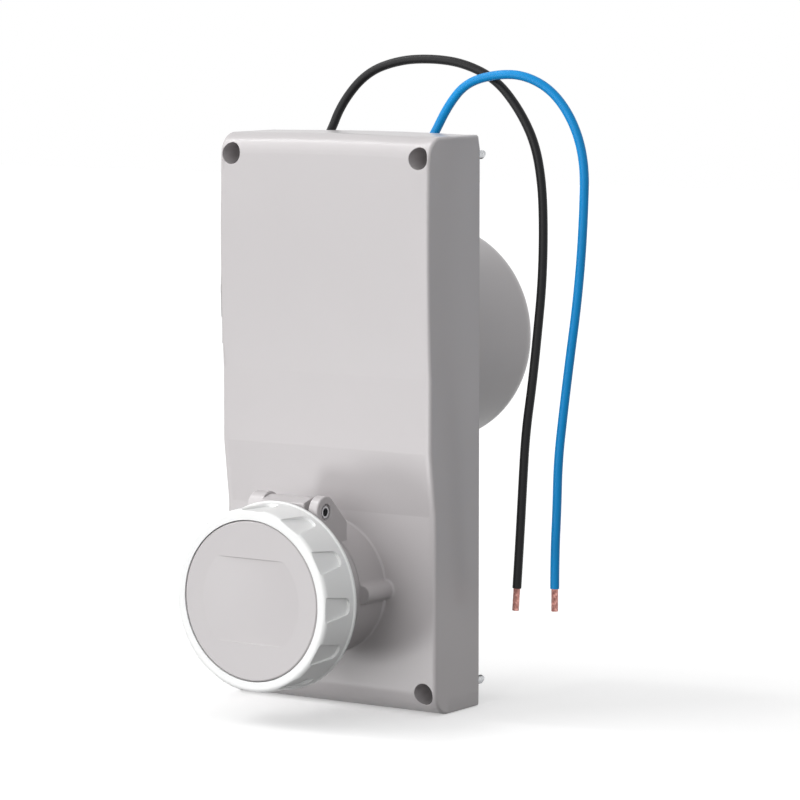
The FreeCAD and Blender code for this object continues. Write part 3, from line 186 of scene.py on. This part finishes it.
studio = bpy.data.worlds.new("studio")
bpy.context.scene.world = studio
studio.use_nodes = True
air = studio.node_tree
walls = air.nodes["Background"]
walls.inputs["Color"].default_value = (1, 1, 1, 1)
walls.inputs["Strength"].default_value = WALL_LIGHT
backdrop = air.nodes.new("ShaderNodeBackground")
backdrop.inputs["Color"].default_value = (1, 1, 1, 1)
seen = air.nodes.new("ShaderNodeLightPath")
either = air.nodes.new("ShaderNodeMath")
either.operation = "MAXIMUM"
choice = air.nodes.new("ShaderNodeMixShader")
air.links.new(seen.outputs["Is Camera Ray"], either.inputs[0])
air.links.new(seen.outputs["Is Glossy Ray"], either.inputs[1])
air.links.new(either.outputs[0], choice.inputs[0])
air.links.new(walls.outputs[0], choice.inputs[1])
air.links.new(backdrop.outputs[0], choice.inputs[2])
air.links.new(choice.outputs[0], air.nodes["World Output"].inputs["Surface"])

for name, turn, rise, spread, level in LAMPS:
    turn, rise = math.radians(turn), math.radians(rise)
    beam = Vector((-math.sin(turn) * math.cos(rise), math.cos(turn) * math.cos(rise), -math.sin(rise)))
    lamp = bpy.data.lights.new(name, "SUN")
    lamp.energy = level * math.pi
    lamp.angle = math.radians(spread)
    stand = bpy.data.objects.new(name, lamp)
    stand.rotation_euler = beam.to_track_quat("-Z", "Y").to_euler()
    bpy.context.scene.collection.objects.link(stand)

# The two supply leads are single-core cable with PVC insulation, about 4.2 mm over it. They are
# clamped inside the cover, rise out behind its top edge, arch over and hang beside it.
LEAD_DIAMETER = 0.0042
BLACK_LENGTH = 0.3948
BLUE_LENGTH = 0.3543
BLACK_POINTS = [
    (-33.5, -10.5, 92.0), (-33.5, -10.5, 103.0), (-33.2, -3.5, 116.0), (-31.2, 8.4, 129.5),
    (-27.0, 12.5, 144.5), (-14.0, 14.0, 159.0), (4.0, 14.5, 165.0), (22.5, 15.0, 166.0),
    (40.0, 15.0, 164.0), (57.5, 14.5, 157.0), (70.5, 13.5, 144.0), (80.5, 12.0, 128.5),
    (85.0, 11.0, 110.0), (86.5, 10.0, 88.5), (86.5, 9.0, 64.5), (84.5, 8.5, 42.5),
    (82.0, 8.0, 18.0), (78.5, 8.0, -4.5), (77.0, 8.0, -28.5), (75.5, 8.0, -55.0),
    (74.0, 8.0, -77.0),
]
BLUE_POINTS = [
    (24.0, -10.5, 92.0), (24.0, -10.5, 103.0), (24.4, -3.5, 116.0), (27.0, 8.2, 129.5),
    (35.0, 9.5, 145.0), (45.5, 9.0, 155.5), (62.5, 9.0, 159.5), (77.0, 9.5, 159.0),
    (91.5, 10.0, 152.0), (102.5, 10.5, 137.5), (108.0, 10.5, 119.5), (107.5, 10.5, 97.5),
    (106.5, 10.0, 75.5), (104.5, 9.5, 53.5), (101.5, 9.0, 31.0), (98.5, 8.5, 6.5),
    (96.0, 8.0, -16.5), (95.5, 8.0, -39.0), (94.5, 8.0, -58.5), (94.5, 8.0, -75.5),
]
BLACK_COLOUR = (0.014, 0.014, 0.015, 1)
BLUE_COLOUR = (0.003, 0.29, 0.70, 1)


def darker(colour, share):
    """A colour with its light brought down to a share."""
    return tuple(share * part for part in colour[:3]) + (1,)


def insulation(name, colour, roughness):
    """Extruded PVC: satin, with faint draw waves along it."""
    finish = Finish(name)
    waves = finish.noise(900.0, detail=3.0)
    tone = finish.noise(60.0)
    return finish.surface(Base_Color=finish.blend(tone, darker(colour, 0.82), colour),
                          Roughness=roughness + 0.12 * waves, Specular_IOR_Level=0.2,
                          Normal=finish.bump(waves, 0.12, 0.0002))


def smooth_lead(name, points, material):
    """A NURBS tube along the route's points, given in millimetres."""
    curve = bpy.data.curves.new(name, "CURVE")
    curve.dimensions = "3D"
    curve.bevel_depth = LEAD_DIAMETER / 2
    curve.bevel_resolution = 8
    curve.resolution_u = 10
    curve.use_fill_caps = True
    line = curve.splines.new("NURBS")
    line.points.add(len(points) - 1)
    for spot, (x, y, z) in zip(line.points, points):
        spot.co = (x / 1000, y / 1000, z / 1000, 1)
    line.order_u = 3
    line.use_endpoint_u = True
    curve.materials.append(material)
    lead = bpy.data.objects.new(name, curve)
    bpy.context.scene.collection.objects.link(lead)
    return lead


black_pvc = insulation("black_pvc", BLACK_COLOUR, roughness=0.33)
blue_pvc = insulation("blue_pvc", BLUE_COLOUR, roughness=0.30)
black_lead = smooth_lead("black_lead", BLACK_POINTS, black_pvc)
blue_lead = smooth_lead("blue_lead", BLUE_POINTS, blue_pvc)

# The conductors are bare copper, 19 fine strands twisted together and cut square 10.5 mm below the
# insulation.
STRAND_RADIUS = 0.00032
INNER_STRANDS = (6, 0.00064)
OUTER_STRANDS = (12, 0.00126)
STRAND_TWIST = math.radians(150)
STRAND_LENGTH = 0.0105
STRAND_START = -0.0012
STRAND_STEPS = 14
STRAND_SIDES = 8
SHARP_EDGE = math.radians(35)
COPPER_DULL = (0.32, 0.15, 0.135, 1)
COPPER_BRIGHT = (0.58, 0.31, 0.265, 1)

copper = Finish("copper_strand")
drawn = copper.noise(5200.0, detail=3.0)
patches = copper.noise(700.0, detail=3.0)
copper_metal = copper.surface(
    Base_Color=copper.blend(patches.clipped(0.3, 0.7), COPPER_DULL, COPPER_BRIGHT),
    Metallic=1.0, Roughness=0.26 + 0.2 * drawn, Normal=copper.bump(drawn, 0.2, 0.0001))


def finish_mesh(name, mesh_tool, material, body):
    """Close a bmesh into an object of its own that rides on a body."""
    mesh = bpy.data.meshes.new(name)
    mesh_tool.to_mesh(mesh)
    mesh_tool.free()
    mesh.shade_smooth()
    mesh.set_sharp_from_angle(angle=SHARP_EDGE)
    mesh.materials.append(material)
    piece = bpy.data.objects.new(name, mesh)
    bpy.context.scene.collection.objects.link(piece)
    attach(piece, body)
    return piece


def twisted_strands(name, points):
    """Strands swept along the lead's own direction at its last point."""
    tool = bmesh.new()
    layout = [(0.0, 0.0)]
    for count, ring_radius in (INNER_STRANDS, OUTER_STRANDS):
        layout += [(ring_radius, 2 * math.pi * number / count) for number in range(count)]
    for ring_radius, angle in layout:
        centre = (ring_radius * math.cos(angle), ring_radius * math.sin(angle), STRAND_START)
        made = bmesh.ops.create_circle(tool, cap_ends=False, segments=STRAND_SIDES, radius=STRAND_RADIUS,
                                       matrix=Matrix.Translation(centre))
        edges = list({edge for vert in made["verts"] for edge in vert.link_edges})
        rise = (STRAND_LENGTH - STRAND_START) / STRAND_STEPS
        bmesh.ops.spin(tool, geom=made["verts"] + edges, cent=(0, 0, 0), axis=(0, 0, 1),
                       dvec=(0, 0, rise), angle=STRAND_TWIST, steps=STRAND_STEPS)
    bmesh.ops.holes_fill(tool, edges=[edge for edge in tool.edges if edge.is_boundary],
                         sides=STRAND_SIDES)
    bmesh.ops.recalc_face_normals(tool, faces=tool.faces)
    end = Vector(points[-1]) / 1000
    along = (Vector(points[-1]) - Vector(points[-2])).normalized()
    turn = along.to_track_quat("Z", "X").to_matrix().to_4x4()
    bmesh.ops.transform(tool, matrix=Matrix.Translation(end) @ turn, verts=tool.verts)
    return finish_mesh(name, tool, copper_metal, "housing")


for lead, node, colour_slot, length, points, cut_end in (
        (black_lead, "lead_black", "black_insulation", BLACK_LENGTH, BLACK_POINTS, "black_copper_end"),
        (blue_lead, "lead_blue", "blue_insulation", BLUE_LENGTH, BLUE_POINTS, "blue_copper_end")):
    strands = twisted_strands(cut_end.replace("copper_end", "copper_strands"), points)
    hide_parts(cut_end)
    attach(lead, "housing")
    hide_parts(node)


# The cover is one grey moulding with a fine even grain from the mould and a little gloss. Its edges
# are slightly rounded, as the mould leaves them.
GREY = (0.556, 0.531, 0.537, 1)
GREY_EDGE = 0.0005


def moulded(name, colour, roughness, grain, edge):
    """Injection-moulded plastic with slight mottling, mould grain and soft edges."""
    finish = Finish(name)
    tone = finish.noise(35.0, detail=3.0)
    fine = finish.noise(2600.0, detail=2.0)
    return finish.surface(Base_Color=finish.blend(tone, darker(colour, 0.97), colour),
                          Roughness=roughness + 0.08 * fine,
                          Normal=finish.bump(fine, grain, 0.0001, finish.soft_edges(edge)))


def dress(material, *nodes):
    """Give CAD pieces their finish."""
    for node in nodes:
        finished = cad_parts[node].data.materials
        finished.clear()
        finished.append(material)


grey_plastic = moulded("grey_plastic", GREY, roughness=0.26, grain=0.08, edge=GREY_EDGE)

# The moulding's side edges are crisp. The solid rolls them wider, so the cover that shows is its
# copy, with each point of that wide roll drawn out, square to the front or top, to the small radius.
HALF_WIDTH = 0.05825
WIDEST_ROLL = 0.0105
SIDE_EDGE = 0.0015
PROFILE_PLACE = 0.044
PROFILE_CLEAR = 0.02
WELL_CENTRE = Vector((0.0519, 0.1223))
COLUMN_REACH = 0.0067
COLUMN_SIDE = 0.0572
COLUMN_SLANT = 0.05
FLAT = 0.015
SIDE_FACING = 0.9995
SAME_PLACE = 0.000003


def joined_skin(source):
    """A copy of a node's mesh with its points joined, and the layer that keeps its directions."""
    skin = bmesh.new()
    skin.from_mesh(source)
    facing = skin.loops.layers.float_vector.new("facing")
    corners = [corner for face in skin.faces for corner in face.loops]
    for corner, direction in zip(corners, source.corner_normals):
        corner[facing] = direction.vector
    bmesh.ops.remove_doubles(skin, verts=skin.verts, dist=SAME_PLACE)
    skin.normal_update()
    return skin, facing


def in_column(face):
    """Whether a face is part of a screw well or of the column round it."""
    return abs(face.normal.y) < COLUMN_SLANT and all(
        (Vector((abs(vert.co.x), abs(vert.co.z))) - WELL_CENTRE).length < COLUMN_REACH
        and abs(vert.co.x) < COLUMN_SIDE for vert in face.verts)


def on_roll(face, facing):
    """Whether a face helps to round a side edge, outside and not in a well."""
    outward = [corner[facing].x * math.copysign(1, corner.vert.co.x) for corner in face.loops]
    beside = all(abs(vert.co.x) > HALF_WIDTH - WIDEST_ROLL for vert in face.verts)
    turning = min(outward) > -FLAT and any(FLAT < part < 1 - FLAT for part in outward)
    return beside and turning and abs(face.normal.x) <= SIDE_FACING and not in_column(face)


def directions_away(faces, facing):
    """For each point of the rolls, the direction square to the front, top or bottom beside it."""
    totals = {}
    for face in faces:
        for corner in face.loops:
            totals[corner.vert] = totals.get(corner.vert, Vector()) + corner[facing]
    known = {vert: Vector((0, total.y, total.z)).normalized() for vert, total in totals.items()
             if abs(total.normalized().x) < 1 - FLAT}
    order = list(known)
    finder = KDTree(len(order))
    for number, vert in enumerate(order):
        finder.insert(vert.co, number)
    finder.balance()
    return {vert: known.get(vert) or known[order[finder.find(vert.co)[1]]] for vert in totals}


def drawing_out(spot, away, cover):
    """How far a point of the wide roll moves, and how steep the crisp edge is there."""
    start = Vector((math.copysign(PROFILE_PLACE, spot.x), spot.y, spot.z)) + PROFILE_CLEAR * away
    hit = cover.ray_cast(start, -away)[0]
    if hit is None:
        return None
    depth = max((hit - spot).dot(away), 0.0)
    inset = max(HALF_WIDTH - abs(spot.x), 0.0)
    if inset + depth + math.sqrt(2 * inset * depth) > WIDEST_ROLL:
        return None
    short = max(SIDE_EDGE - inset, 0.0)
    wanted = SIDE_EDGE - math.sqrt(SIDE_EDGE ** 2 - short ** 2)
    return max(depth - wanted, 0.0), short / SIDE_EDGE


def draw_rolls(skin, facing):
    """Move the points of the side rolls, and turn their corners, to the small radius."""
    cover = BVHTree.FromBMesh(skin)
    faces = [face for face in skin.faces if on_roll(face, facing)]
    away = directions_away(faces, facing)
    moves = {vert: drawing_out(vert.co, away[vert], cover) for vert in away}
    drawn = set()
    for face in faces:
        if all(moves[vert] for vert in face.verts):
            drawn.update(face.verts)
            for corner in face.loops:
                steep = moves[corner.vert][1]
                sideways = Vector((math.copysign(steep, corner.vert.co.x), 0, 0))
                corner[facing] = sideways + away[corner.vert] * math.sqrt(1 - steep ** 2)
    for vert in drawn:
        vert.co += moves[vert][0] * away[vert]


def refill_sides(skin, facing):
    """Fill each flat side anew inside its moved outline."""
    for side in (-1, 1):
        flat = [face for face in skin.faces
                if all(side * vert.co.x > HALF_WIDTH - SAME_PLACE for vert in face.verts)]
        whole = bmesh.ops.dissolve_faces(skin, faces=flat, use_verts=False)["region"]
        for face in bmesh.ops.triangulate(skin, faces=whole)["faces"]:
            for corner in face.loops:
                corner[facing] = (side, 0, 0)


skin, facing = joined_skin(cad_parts["cover_housing"].data)
draw_rolls(skin, facing)
refill_sides(skin, facing)
moulding = bpy.data.meshes.new("cover_moulding")
skin.to_mesh(moulding)
skin.free()
moulding.shade_smooth()
directions = [tuple(corner.vector) for corner in moulding.attributes["facing"].data]
moulding.normals_split_custom_set(directions)
moulding.attributes.remove(moulding.attributes["facing"])
moulding.materials.append(grey_plastic)
cover_moulding = bpy.data.objects.new("cover_moulding", moulding)
bpy.context.scene.collection.objects.link(cover_moulding)
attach(cover_moulding, "housing")
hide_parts("cover_housing")

# Round the cover's back rim lies a moulded rubber gasket, which the wall presses on. A rubber washer
# under its head seals each cover screw.
RUBBER = (0.030, 0.030, 0.032, 1)
RUBBER_BLOOM = (0.055, 0.055, 0.058, 1)


def rubber(name, roughness):
    """Black rubber, matt, with a dusty bloom."""
    finish = Finish(name)
    bloom = finish.noise(120.0, detail=4.0, roughness=0.6)
    pores = finish.noise(1800.0, detail=3.0)
    return finish.surface(Base_Color=finish.blend(bloom.clipped(0.35, 0.75), RUBBER, RUBBER_BLOOM),
                          Roughness=roughness + 0.15 * bloom,
                          Normal=finish.bump(pores, 0.25, 0.0002, finish.soft_edges(0.0002)))


seal_rubber = rubber("seal_rubber", roughness=0.55)
dress(seal_rubber, "rear_gasket", "screw_seals")

# The contact carrier is a black moulding screwed to the barrel from behind, on a rubber ring. It
# holds two brass sleeves with screw terminals, which are turned and have a dull nickel flash.
BLACK_PLASTIC = (0.022, 0.022, 0.024, 1)
BRASS = (0.80, 0.60, 0.27, 1)
NICKEL_FLASH = (0.76, 0.70, 0.55, 1)

black_plastic = moulded("black_plastic", BLACK_PLASTIC, roughness=0.42, grain=0.12, edge=0.0003)
dress(black_plastic, "contact_carrier")
dress(seal_rubber, "carrier_seal")

turned_brass = Finish("contact_brass")
tool_marks = turned_brass.node("ShaderNodeTexWave", {"bands_direction": "Y", "wave_profile": "SIN"},
                               {"Vector": turned_brass.place(), "Scale": 900.0, "Distortion": 1.5,
                                "Detail": 2.0})
flash = turned_brass.noise(180.0, detail=4.0)
dress(turned_brass.surface(Base_Color=turned_brass.blend(flash.clipped(0.4, 0.65), BRASS, NICKEL_FLASH),
                           Metallic=1.0, Roughness=0.22 + 0.14 * flash,
                           Normal=turned_brass.bump(tool_marks, 0.12, 0.00005,
                                                    turned_brass.soft_edges(0.0002))),
      "contact_sleeve_left", "contact_sleeve_right", "bolt_insert")

# The transformer sits in a round moulded cup of the cover's grey, which a black disc closes. Its
# core is a ring wound from silicon-steel strip, and its winding is wrapped all round in yellow tape.
TOROID_Z = 0.035
STRIP = 0.0007
STRIP_DARK = (0.16, 0.17, 0.19, 1)
STRIP_BRIGHT = (0.36, 0.37, 0.40, 1)
TAPE_TURNS = 38
TAPE = (0.72, 0.50, 0.09, 1)
TAPE_EDGE = (0.50, 0.30, 0.05, 1)

dress(grey_plastic, "transformer_cup")
dress(black_plastic, "cup_cover")
dress(seal_rubber, "toroid_pad_rear", "toroid_pad_front")


def across_toroid(finish):
    """The X and Z places of a point, from the toroid's axis."""
    centred = finish.node("ShaderNodeMapping", {}, {"Vector": finish.place(),
                                                    "Location": (0, 0, -TOROID_Z)})
    return [finish.node("ShaderNodeSeparateXYZ", {}, {"Vector": centred}, out=axis) for axis in "XZ"]


strip = Finish("core_steel")
side, rise = across_toroid(strip)
reach = strip.node("ShaderNodeMath", {"operation": "SQRT"}, {0: side * side + rise * rise})
layers = strip.node("ShaderNodeMath", {"operation": "FRACT"}, {0: reach * (1 / STRIP)})
dress(strip.surface(Base_Color=strip.blend(layers, STRIP_DARK, STRIP_BRIGHT),
                    Metallic=1.0, Roughness=0.3 + 0.2 * strip.noise(400.0),
                    Normal=strip.bump(layers, 0.4, 0.0001)), "toroid_core")

wrap = Finish("winding_tape")
side, rise = across_toroid(wrap)
bearing = wrap.node("ShaderNodeMath", {"operation": "ARCTAN2"}, {0: side, 1: rise})
lap = wrap.node("ShaderNodeMath", {"operation": "FRACT"}, {0: bearing * (TAPE_TURNS / (2 * math.pi))})
slack = wrap.noise(90.0, detail=3.0)
dress(wrap.surface(Base_Color=wrap.blend(lap.clipped(0.86, 1.0), TAPE, TAPE_EDGE),
                   Roughness=0.22 + 0.2 * slack, Coat_Weight=0.3 * slack,
                   Normal=wrap.bump(lap + 0.6 * slack, 0.7, 0.0004)), "toroid_winding")

# The leads that run inside from the transformer to the anchorage match the supply leads, the two
# wires to the socket are black, and moulded saddles clamp the leads.
dress(black_pvc, "inner_lead_black", "secondary_wires")
dress(blue_pvc, "inner_lead_blue")
dress(black_plastic, "lead_saddles")

# Steel parts are zinc plated: bright and slightly uneven, with a faint blue cast. A bolt and a
# dished disc hold the transformer in its cup, and the lid's hinge pin is a tube rolled from strip.
ZINC_LIGHT = (0.66, 0.67, 0.68, 1)
ZINC_DARK = (0.50, 0.51, 0.53, 1)


def steel(name, dark, light, roughness, grain):
    """Metal with uneven plating and fine draw lines."""
    finish = Finish(name)
    cloud = finish.noise(260.0, detail=4.0)
    fine = finish.noise(grain, detail=2.0)
    return finish.surface(Base_Color=finish.blend(cloud.clipped(0.3, 0.7), dark, light), Metallic=1.0,
                          Roughness=roughness + 0.16 * cloud,
                          Normal=finish.bump(fine, 0.12, 0.00005, finish.soft_edges(0.0002)))


zinc_steel = steel("zinc_steel", ZINC_DARK, ZINC_LIGHT, roughness=0.24, grain=3000.0)
dress(zinc_steel, "clamp_disc", "clamp_bolt", "hinge_pin")

# The screws are cold-headed, with a pan head, a cross recess and a rolled thread. Those of the cover
# are held captive by a plain shank thinner than the thread, which stands out behind the cover.
MILLIMETRE = 0.001
HEAD_SEGMENTS = 28
HEAD_PROFILE = ((1, 0), (1, 0.5), (0.96, 0.74), (0.86, 0.92), (0.70, 1))
RECESS_REACH = 0.56
RECESS_HALF_WIDTH = 0.15
RECESS_DEPTH = 0.6
RECESS_TAPER = 0.72
SHANK_SEGMENTS = 20
SHANK_IN_HEAD = 0.2
THREAD_STEPS = 14
RIDGE_HALF = 0.38
RIDGE_ROOT = 0.1
RIDGE_START = 0.7
SAME_SPOT = 0.002
SAME_LEVEL = 0.01
COVER_SCREW_PLACES = [(side * 51.9, end * 122.3) for side in (-1, 1) for end in (-1, 1)]
CARRIER_SCREW_PLACES = [(-31.3, -75.6), (31.3, -75.6)]
TERMINAL_SCREW_PLACES = [(-8.5, -74.6), (8.5, -74.6)]
CUP_SCREW_PLACES = [(side * 41.0, height) for side in (-1, 1) for height in (-6.0, 76.0)]
SADDLE_SCREW_PLACES = [(x, 88.0) for x in (-39.8, -27.2, 17.7, 30.3)]


def turned(tool, profile):
    """Closed round body about Z, from (radius, height) points that start and end on the axis."""
    verts = [tool.verts.new((radius, 0, height)) for radius, height in profile]
    edges = [tool.edges.new(pair) for pair in zip(verts, verts[1:])]
    bmesh.ops.spin(tool, geom=verts + edges, cent=(0, 0, 0), axis=(0, 0, 1), angle=2 * math.pi,
                   steps=SHANK_SEGMENTS, use_merge=True, use_duplicate=False)
    bmesh.ops.remove_doubles(tool, verts=tool.verts, dist=SAME_SPOT)


def cross_outline(reach, half_width, height):
    """The twelve corners of a cross."""
    quarter = [(reach, -half_width), (reach, half_width), (half_width, half_width)]
    corners = []
    for number in range(4):
        turn = Matrix.Rotation(math.radians(90 * number), 3, "Z")
        corners += [turn @ Vector((x, y, height)) for x, y in quarter]
    return corners


def pan_head(tool, radius, height):
    """Head on the near side of its seat at Z 0, with its recess."""
    verts = [tool.verts.new((reach * radius, 0, -rise * height)) for reach, rise in HEAD_PROFILE]
    edges = [tool.edges.new(pair) for pair in zip(verts, verts[1:])]
    bmesh.ops.spin(tool, geom=verts + edges, cent=(0, 0, 0), axis=(0, 0, 1), angle=2 * math.pi,
                   steps=HEAD_SEGMENTS, use_merge=True, use_duplicate=False)
    bmesh.ops.remove_doubles(tool, verts=tool.verts, dist=SAME_SPOT)
    rims = [edge for edge in tool.edges if edge.is_boundary]
    seat_rim = [edge for edge in rims if abs(edge.verts[0].co.z) < SAME_LEVEL]
    bmesh.ops.edgeloop_fill(tool, edges=seat_rim)
    rim = [edge for edge in rims if edge.is_valid and abs(edge.verts[0].co.z + height) < SAME_LEVEL]
    outline = cross_outline(RECESS_REACH * radius, RECESS_HALF_WIDTH * radius, -height)
    cross = [tool.verts.new(corner) for corner in outline]
    slot = [tool.edges.new(pair) for pair in zip(cross, cross[1:] + cross[:1])]
    bmesh.ops.triangle_fill(tool, edges=rim + slot, use_beauty=True, use_dissolve=False)
    sunk = bmesh.ops.extrude_edge_only(tool, edges=slot)["geom"]
    low = [part for part in sunk if isinstance(part, bmesh.types.BMVert)]
    bmesh.ops.scale(tool, vec=(RECESS_TAPER, RECESS_TAPER, 1), verts=low)
    bmesh.ops.translate(tool, vec=(0, 0, RECESS_DEPTH * height), verts=low)
    bmesh.ops.edgeloop_fill(tool, edges=[edge for edge in tool.edges if edge.is_boundary])


def thread(tool, start, end, core, crest, pitch):
    """A ridge wound round the core from start to end, closed at both ends."""
    turns = (end - start) / pitch
    half = RIDGE_HALF * pitch
    inner = core - RIDGE_ROOT
    ridge = ((inner, 0, start - half), (crest, 0, start), (inner, 0, start + half))
    verts = [tool.verts.new(spot) for spot in ridge]
    edges = [tool.edges.new((verts[number - 1], verts[number])) for number in range(3)]
    steps = round(turns * THREAD_STEPS)
    bmesh.ops.spin(tool, geom=verts + edges, cent=(0, 0, 0), axis=(0, 0, 1),
                   dvec=(0, 0, (end - start) / steps), angle=turns * 2 * math.pi, steps=steps)
    bmesh.ops.holes_fill(tool, edges=[edge for edge in tool.edges if edge.is_boundary], sides=3)


def screw_group(node, places, seat, toward, head, plain, wound, length, pitch):
    """Screws with their heads at the seat's Y, and their tips toward +Y or -Y. Sizes in millimetres."""
    head_radius, head_height = head
    plain_radius, plain_length = plain
    core, crest = wound
    one_screw = bmesh.new()
    pan_head(one_screw, head_radius, head_height)
    shell = bmesh.new()
    sunk = -SHANK_IN_HEAD * head_height
    turned(shell, [(0, sunk), (plain_radius, sunk), (plain_radius, plain_length),
                   (core, plain_length + 0.2), (core, length - core),
                   (0.75 * core, length - 0.35 * core), (0.35 * core, length), (0, length)])
    thread(shell, plain_length + RIDGE_START * pitch, length - core, core, crest, pitch)
    part = bpy.data.meshes.new(node)
    shell.to_mesh(part)
    shell.free()
    one_screw.from_mesh(part)
    bmesh.ops.recalc_face_normals(one_screw, faces=one_screw.faces)
    one_screw.to_mesh(part)
    one_screw.free()
    group = bmesh.new()
    turn = Matrix.Rotation(math.radians(-90 * toward), 4, "X")
    to_metres = Matrix.Scale(MILLIMETRE, 4)
    for x, z in places:
        before = len(group.verts)
        group.from_mesh(part)
        group.verts.ensure_lookup_table()
        bmesh.ops.transform(group, verts=group.verts[before:],
                            matrix=to_metres @ Matrix.Translation((x, seat, z)) @ turn)
    bpy.data.meshes.remove(part)
    piece = finish_mesh(node + "_cut", group, zinc_steel, "housing")
    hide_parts(node)


screw_group("cover_screws", COVER_SCREW_PLACES, seat=-9.0, toward=1, head=(3.8, 2.8),
            plain=(1.75, 9.0), wound=(1.6, 2.1), length=22.7, pitch=1.4)
screw_group("carrier_screws", CARRIER_SCREW_PLACES, seat=-28.4, toward=-1, head=(3.2, 2.2),
            plain=(1.0, 0.5), wound=(1.0, 1.45), length=20.0, pitch=1.3)
screw_group("terminal_screws", TERMINAL_SCREW_PLACES, seat=-12.0, toward=-1, head=(2.8, 1.8),
            plain=(1.25, 0.2), wound=(1.25, 1.55), length=2.7, pitch=0.5)
screw_group("cup_screws", CUP_SCREW_PLACES, seat=0.0, toward=-1, head=(3.2, 2.2),
            plain=(1.0, 0.5), wound=(1.0, 1.45), length=21.0, pitch=1.3)
screw_group("saddle_screws", SADDLE_SCREW_PLACES, seat=-6.0, toward=-1, head=(2.8, 2.2),
            plain=(1.0, 0.5), wound=(1.0, 1.45), length=17.0, pitch=1.3)

# The lid is a cap of the cover's grey with its hinge arm, and a rubber seal inside. A bent steel
# wire spring closes it, and a spring-steel ring keeps the bayonet ring on it.
SPRING_DARK = (0.34, 0.34, 0.35, 1)
SPRING_LIGHT = (0.46, 0.46, 0.47, 1)

dress(grey_plastic, "lid_cap")
dress(seal_rubber, "lid_seal")
dress(steel("spring_steel", SPRING_DARK, SPRING_LIGHT, roughness=0.28, grain=2400.0),
      "lid_spring", "ring_retainer")

# The bayonet ring is moulded in white, the colour of its voltage, with twelve grip pockets round it
# and lugs inside that lock the lid on the barrel.
WHITE = (0.92, 0.925, 0.92, 1)

dress(moulded("white_plastic", WHITE, roughness=0.28, grain=0.04, edge=0.0005), "bayonet_ring")
